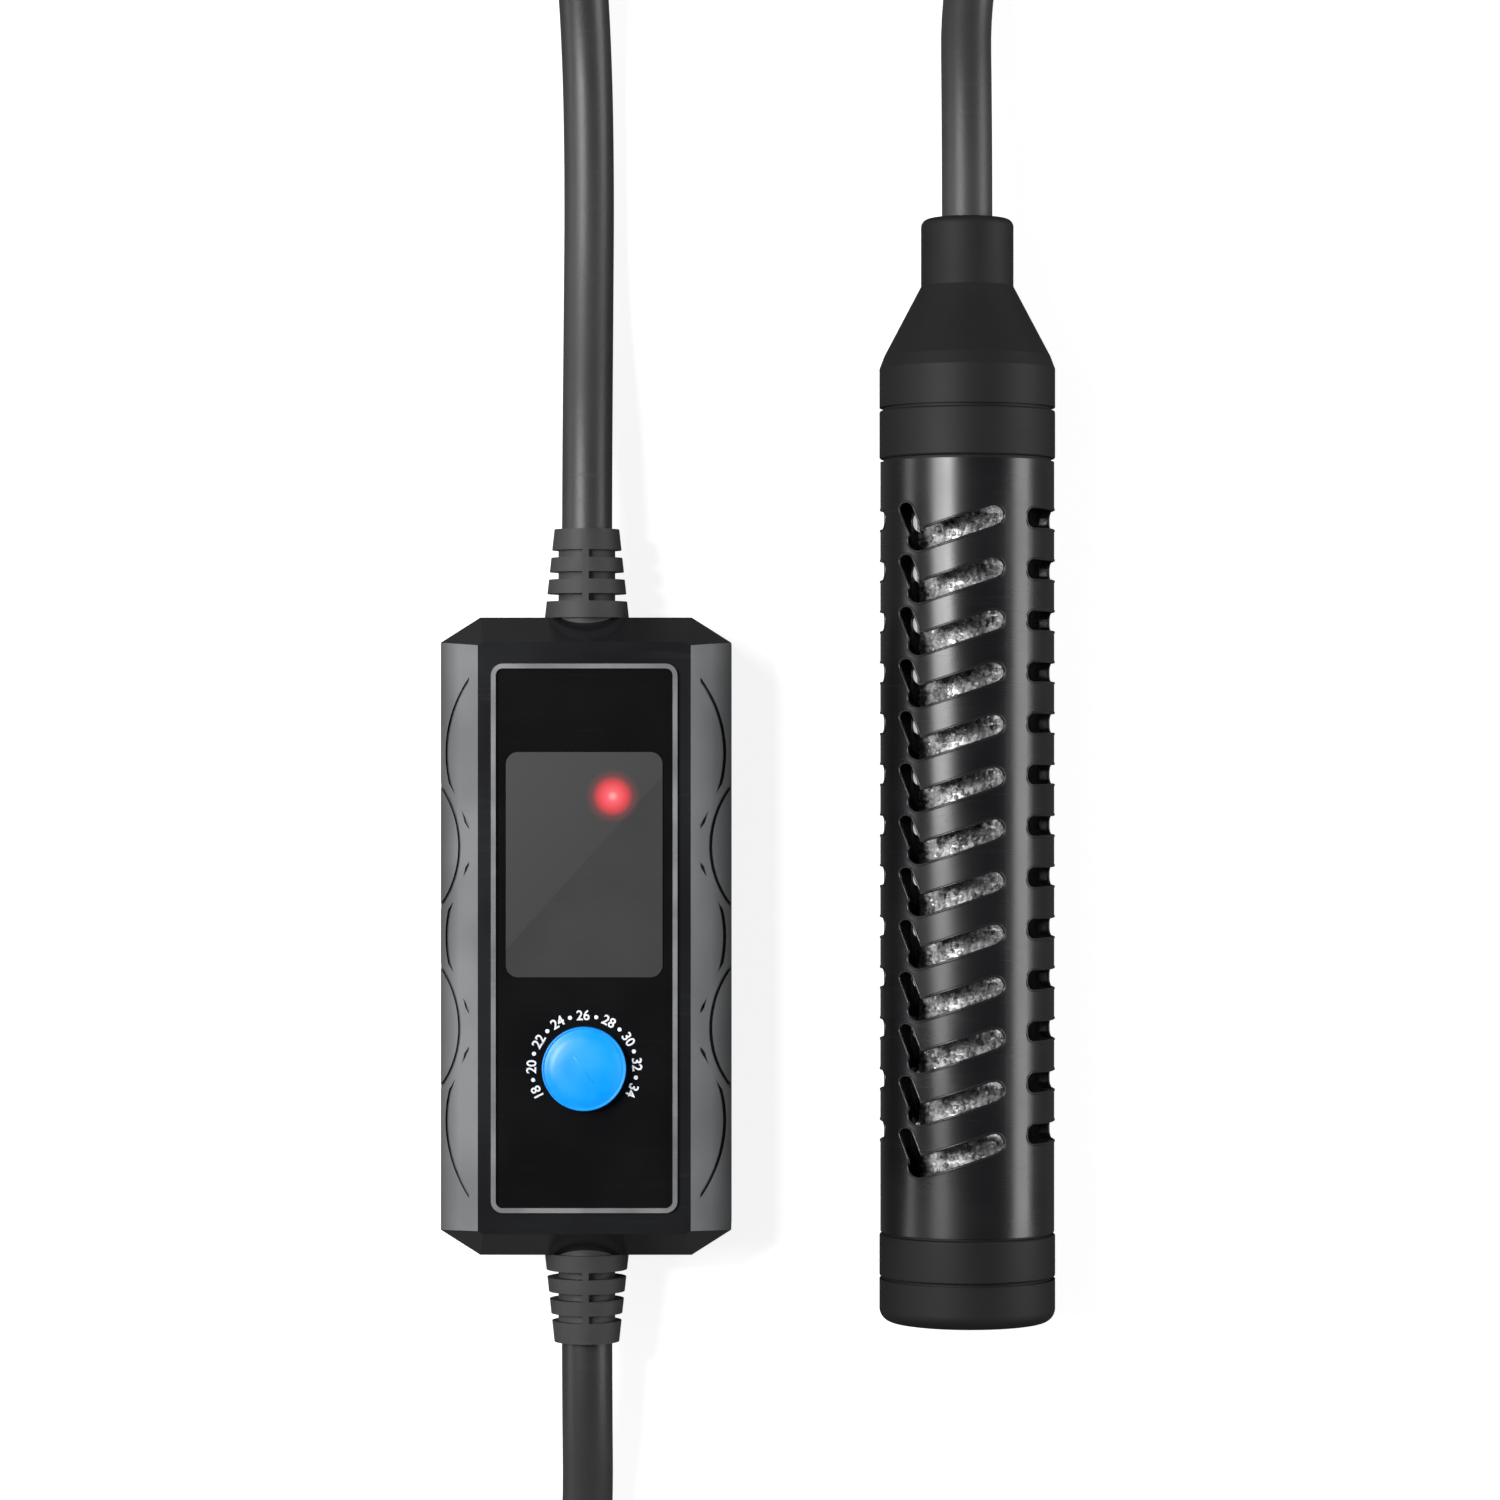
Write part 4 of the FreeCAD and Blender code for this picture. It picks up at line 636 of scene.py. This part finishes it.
abs_colour = add_node(abs_tree, "Mix", {0: abs_satin_and_sheen.outputs["Result"],
                                        6: abs_life.outputs["Color"],
                                        7: abs_shaded_sheen.outputs[2]}, data_type="RGBA")
abs_rough = add_node(abs_tree, "MapRange", {"Value": abs_satin_and_sheen.outputs["Result"],
                                            "To Max": 0.46})
abs_tree.links.new(abs_life.outputs["Roughness"], abs_rough.inputs["To Min"])
abs_tree.links.new(abs_colour.outputs[2], abs_shader.inputs["Base Color"])
abs_tree.links.new(abs_rough.outputs["Result"], abs_shader.inputs["Roughness"])
cover(gloss_abs, "front_cover", "rear_cover")


# Front panel. A black gloss plate inside a thin grey metallic rim, both pressed into the
# housing's face.
gloss_panel = material("gloss_panel", (0.0055, 0.0055, 0.0060), (0.0080, 0.0080, 0.0085), 0.08,
                       spread=0.06, grain=1.5, drift=16.0, bump=0.002)
cover(gloss_panel, "front_panel")
grey_rim = material("grey_rim", (0.20, 0.20, 0.205), (0.28, 0.28, 0.285), 0.30, spread=0.12,
                    grain=0.4, drift=8.0, bump=0.006, metal=0.35)
cover(grey_rim, "panel_rim")


# Display window. Smoked acrylic over the signal lamp, with a painted reflection that makes the
# upper corner a shade lighter along a diagonal. The lamp's red glow is painted on it as
# emission.
window_low, window_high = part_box("display_window")
window_middle = [(a + b) / 2 for a, b in zip(window_low, window_high)]
lamp_low, lamp_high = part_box("signal_lamp")
lamp_middle = [(a + b) / 2 for a, b in zip(lamp_low, lamp_high)]
smoked = material("smoked_acrylic", (0.050, 0.050, 0.051), (0.056, 0.056, 0.057), 0.10,
                  spread=0.06, grain=2.0, drift=14.0, bump=0.002)
smoke_tree = smoked.node_tree
smoke_shader = smoke_tree.nodes["Principled BSDF"]
smoke_place = first_node(smoke_tree, "TEX_COORD").outputs["Object"]
smoke_life = first_node(smoke_tree, "GROUP")
# Painted reflection: the window's colour is a shade lighter on one side of a diagonal edge.
reflection_edge_lean = math.radians(48.0)
smoke_lined = add_node(smoke_tree, "Mapping", {
    "Vector": smoke_place, "Location": (-window_middle[0] + 0.3 * mm, -window_middle[1], 0)})
reflection_across = add_node(smoke_tree, "VectorMath", {
    0: smoke_lined.outputs["Vector"],
    1: (-math.sin(reflection_edge_lean), math.cos(reflection_edge_lean), 0)}, operation="DOT_PRODUCT")
reflection_half = add_node(smoke_tree, "MapRange", {
    "Value": reflection_across.outputs["Value"], "From Min": -0.10 * mm, "From Max": 0.10 * mm})
reflection_fade = add_node(smoke_tree, "MapRange", {
    "Value": reflection_across.outputs["Value"], "From Min": 0.0, "From Max": 20 * mm, "To Min": 0.060,
    "To Max": 0.072})
painted_reflection = add_node(smoke_tree, "CombineColor", {
    "Red": reflection_fade.outputs["Result"], "Green": reflection_fade.outputs["Result"],
    "Blue": reflection_fade.outputs["Result"]})
smoke_colour = add_node(smoke_tree, "Mix", {
    0: reflection_half.outputs["Result"], 6: smoke_life.outputs["Color"],
    7: painted_reflection.outputs["Color"]}, data_type="RGBA")
smoke_tree.links.new(smoke_colour.outputs[2], smoke_shader.inputs["Base Color"])
# Painted glow: the window emits red round the lamp, standing in for the lamp's light through it.
glow_place = add_node(smoke_tree, "Mapping", {
    "Vector": smoke_place, "Location": (-lamp_middle[0], -lamp_middle[1], 0)})
glow_flat = add_node(smoke_tree, "VectorMath", {
    0: glow_place.outputs["Vector"], 1: (1, 1, 0)}, operation="MULTIPLY")
glow_reach = add_node(smoke_tree, "VectorMath", {0: glow_flat.outputs["Vector"]},
                      operation="LENGTH")
glow_share = add_node(smoke_tree, "MapRange", {"Value": glow_reach.outputs["Value"],
                                               "From Max": 4.3 * mm})
painted_glow_colour = ramp(smoke_tree, glow_share.outputs["Result"], (0.0, (1.0, 0.42, 0.42)),
                   (0.20, (1.0, 0.09, 0.12)), (0.48, (0.80, 0.012, 0.025)),
                   (0.74, (0.12, 0.0, 0.003)), (1.0, (0.0, 0.0, 0.0)))
smoke_tree.links.new(painted_glow_colour, smoke_shader.inputs["Emission Color"])
smoke_shader.inputs["Emission Strength"].default_value = 0.95
cover(smoked, "display_window")
lamp_red = material("lamp_red", (0.75, 0.03, 0.03), (0.85, 0.10, 0.08), 0.2, grain=0.5,
                    drift=2.0, bump=0.004)
cover(lamp_red, "signal_lamp")


# Setting knob. An azure moulded button with a crowned face, a thin raised rim and a slim
# pointer line across it, pressed on the shaft of the rotary control.
knob_low, knob_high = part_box("control_knob")
knob_centre = Vector(((knob_low[0] + knob_high[0]) / 2, (knob_low[1] + knob_high[1]) / 2, 0))
knob_radius = (knob_high[0] - knob_low[0]) / 2
knob_top, knob_foot = knob_high[2], knob_low[2]
knob_steps = 72
pointer_angle = math.radians(-52)
pointer_size = (5.2 * mm, 0.30 * mm, 0.14 * mm)
pointer_sunk = 0.04 * mm
knob_build = bmesh.new()
knob_profile = [
    (0.0, knob_top), (2.6 * mm, knob_top - 0.03 * mm), (4.6 * mm, knob_top - 0.16 * mm),
    (5.6 * mm, knob_top - 0.42 * mm), (6.1 * mm, knob_top - 0.78 * mm),
    (6.28 * mm, knob_top - 0.80 * mm), (6.42 * mm, knob_top - 0.62 * mm),
    (knob_radius, knob_top - 0.72 * mm), (knob_radius, knob_foot + 0.3 * mm),
    (knob_radius - 0.3 * mm, knob_foot), (0.0, knob_foot)]
knob_line = [knob_build.verts.new((knob_centre.x + reach, knob_centre.y, height))
             for reach, height in knob_profile]
knob_edges = [knob_build.edges.new(pair) for pair in zip(knob_line, knob_line[1:])]
bmesh.ops.spin(knob_build, geom=knob_line + knob_edges, cent=knob_centre, axis=(0, 0, 1),
               angle=2 * math.pi, steps=knob_steps, use_merge=True)
bmesh.ops.remove_doubles(knob_build, verts=knob_build.verts, dist=0.001 * mm)
bmesh.ops.create_cube(
    knob_build, size=1.0,
    matrix=Matrix.Translation(knob_centre + Vector((0, 0, knob_top - pointer_sunk)))
    @ Matrix.Rotation(pointer_angle, 4, "Z") @ Matrix.Diagonal((*pointer_size, 1)))
setting_knob = add_piece("setting_knob", finish_mesh("setting_knob", knob_build))
azure = material("azure_knob", (0.0, 0.285, 0.90), (0.01, 0.33, 0.98), 0.34, spread=0.08,
                 grain=0.5, drift=5.0, bump=0.006)
azure_shader = azure.node_tree.nodes["Principled BSDF"]
# A faint blue emission paints extra light onto the knob.
azure_shader.inputs["Emission Color"].default_value = (0.0, 0.30, 0.95, 1)
azure_shader.inputs["Emission Strength"].default_value = 0.18
setting_knob.data.materials.append(azure)
knob_soft = setting_knob.modifiers.new("edge", "BEVEL")
knob_soft.width = 0.05 * mm
knob_soft.segments = 2
knob_soft.limit_method = "ANGLE"
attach(setting_knob, "dial")
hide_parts("control_knob")


# Dial numbers. White print round the knob, from 18 to 34 degrees with a dot between each pair.
number_radius = 8.26 * mm
number_size = 2.18 * mm
number_start, number_step = -117.5, 29.05
coolest, degree_step = 18, 2
dot_radius = 0.33 * mm
print_thickness = 0.024 * mm
print_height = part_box("front_panel")[1][2] + 0.02 * mm
dot_count = 8


def dial_spot(clock):
    """The place on the number circle at this angle, clockwise from the top."""
    spot = knob_centre + Vector((math.sin(clock), math.cos(clock), 0)) * number_radius
    spot.z = print_height
    return spot


print_build = bmesh.new()
for index in range(dot_count + 1):
    words = bpy.data.curves.new("number", "FONT")
    words.body = str(coolest + degree_step * index)
    words.size = number_size
    words.align_x = "CENTER"
    words.align_y = "CENTER"
    words.extrude = print_thickness / 2
    words.offset = 0.018 * number_size
    words.resolution_u = 3
    words.space_character = 0.98
    number = bpy.data.objects.new("number", words)
    flat = bpy.data.meshes.new_from_object(number)
    clock = math.radians(number_start + index * number_step)
    flat.transform(Matrix.Translation(dial_spot(clock)) @ Matrix.Rotation(-clock, 4, "Z"))
    print_build.from_mesh(flat)
    bpy.data.objects.remove(number)
    if index < dot_count:
        dot = dial_spot(clock + math.radians(number_step / 2))
        bmesh.ops.create_cone(print_build, cap_ends=True, segments=20, radius1=dot_radius,
                              radius2=dot_radius, depth=print_thickness,
                              matrix=Matrix.Translation(dot))
dial_print = add_piece("dial_print", finish_mesh("dial_print", print_build, smooth=False))
dial_print.data.materials.append(material("white_print", (0.93, 0.93, 0.93), (0.80, 0.80, 0.80),
                                          0.5, grain=0.15, drift=1.5, bump=0.003))
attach(dial_print, "root")


# Cord reliefs. Dark grey rubber boots with three rows of slits that let them flex, held in the
# housing by a flange. The plug has a plain tapered one.
relief_rubber = material("relief_rubber", (0.030, 0.030, 0.031), (0.042, 0.042, 0.043), 0.58,
                         spread=0.12, grain=0.45, drift=9.0, bump=0.03)
cover(relief_rubber, "upper_relief", "lower_relief", "plug_relief")


# Circuit board and its parts. Green laminate that carries the relay, capacitors, fuse, chip,
# screw terminals and the rotary control.
laminate = material("laminate", (0.015, 0.11, 0.045), (0.03, 0.16, 0.07), 0.35, grain=0.5,
                    drift=3.0, bump=0.02)
cover(laminate, "circuit_board")
black_case = material("black_case", (0.014, 0.014, 0.015), (0.03, 0.03, 0.03), 0.42, grain=0.3,
                      drift=4.0, bump=0.01)
cover(black_case, "relay", "control_chip", "rotary_control", "dial_wiper")
film_yellow = material("film_yellow", (0.80, 0.52, 0.05), (0.70, 0.42, 0.04), 0.3, grain=0.6,
                       drift=4.0, bump=0.01)
cover(film_yellow, "film_capacitor")
can_sleeve = material("can_sleeve", (0.04, 0.05, 0.10), (0.06, 0.07, 0.13), 0.3, grain=0.6,
                      drift=4.0, bump=0.01)
cover(can_sleeve, "can_capacitor")
terminal_green = material("terminal_green", (0.03, 0.30, 0.10), (0.05, 0.38, 0.14), 0.4,
                          grain=0.4, drift=3.0, bump=0.01)
cover(terminal_green, "heater_terminals", "mains_terminals")
fuse_glass = material("fuse_glass", (0.70, 0.74, 0.74), (0.85, 0.86, 0.85), 0.12, grain=0.8,
                      drift=3.0, bump=0.004)
cover(fuse_glass, "board_fuse")
copper_strand = material("copper_strand", (0.80, 0.36, 0.18), (0.55, 0.22, 0.12), 0.32,
                         grain=0.15, drift=1.5, bump=0.02, metal=1.0)
cover(copper_strand, "heater_strands", "mains_strands")
zinc_steel = material("zinc_steel", (0.55, 0.55, 0.54), (0.40, 0.40, 0.40), 0.30, grain=0.2,
                      drift=3.0, bump=0.008, metal=1.0)
cover(zinc_steel, "board_screws", "clamp_screws", "cover_screws", "upper_cord_clamp",
      "lower_cord_clamp")
cover(black_case, "dial_shaft")


# Plug. A moulded black body with two nickel-plated pins, sleeved near the body so that a half
# drawn plug can't be touched live.
plug_rubber = material("plug_rubber", (0.018, 0.018, 0.019), (0.030, 0.030, 0.031), 0.42,
                       spread=0.12, grain=0.5, drift=12.0, bump=0.03)
cover(plug_rubber, "plug_body")
pin_nickel = material("pin_nickel", (0.62, 0.60, 0.56), (0.50, 0.48, 0.45), 0.22, grain=0.3,
                      drift=4.0, bump=0.004, metal=1.0)
pin_tree = pin_nickel.node_tree
pin_shader = pin_tree.nodes["Principled BSDF"]
pin_place = first_node(pin_tree, "TEX_COORD").outputs["Object"]
pin_along = add_node(pin_tree, "SeparateXYZ", {"Vector": pin_place}).outputs["Y"]
plug_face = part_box("plug_body")[0][1]
sleeve_length = 10 * mm
sleeve_edge = 0.1 * mm
pin_bare = add_node(pin_tree, "MapRange", {
    "Value": pin_along, "From Min": plug_face - sleeve_length + sleeve_edge,
    "From Max": plug_face - sleeve_length - sleeve_edge})
pin_life = first_node(pin_tree, "GROUP")
pin_colour = add_node(pin_tree, "Mix", {0: pin_bare.outputs["Result"], 6: (0.02, 0.02, 0.02, 1),
                                        7: pin_life.outputs["Color"]}, data_type="RGBA")
pin_tree.links.new(pin_colour.outputs[2], pin_shader.inputs["Base Color"])
pin_tree.links.new(pin_bare.outputs["Result"], pin_shader.inputs["Metallic"])
cover(pin_nickel, "plug_pins")
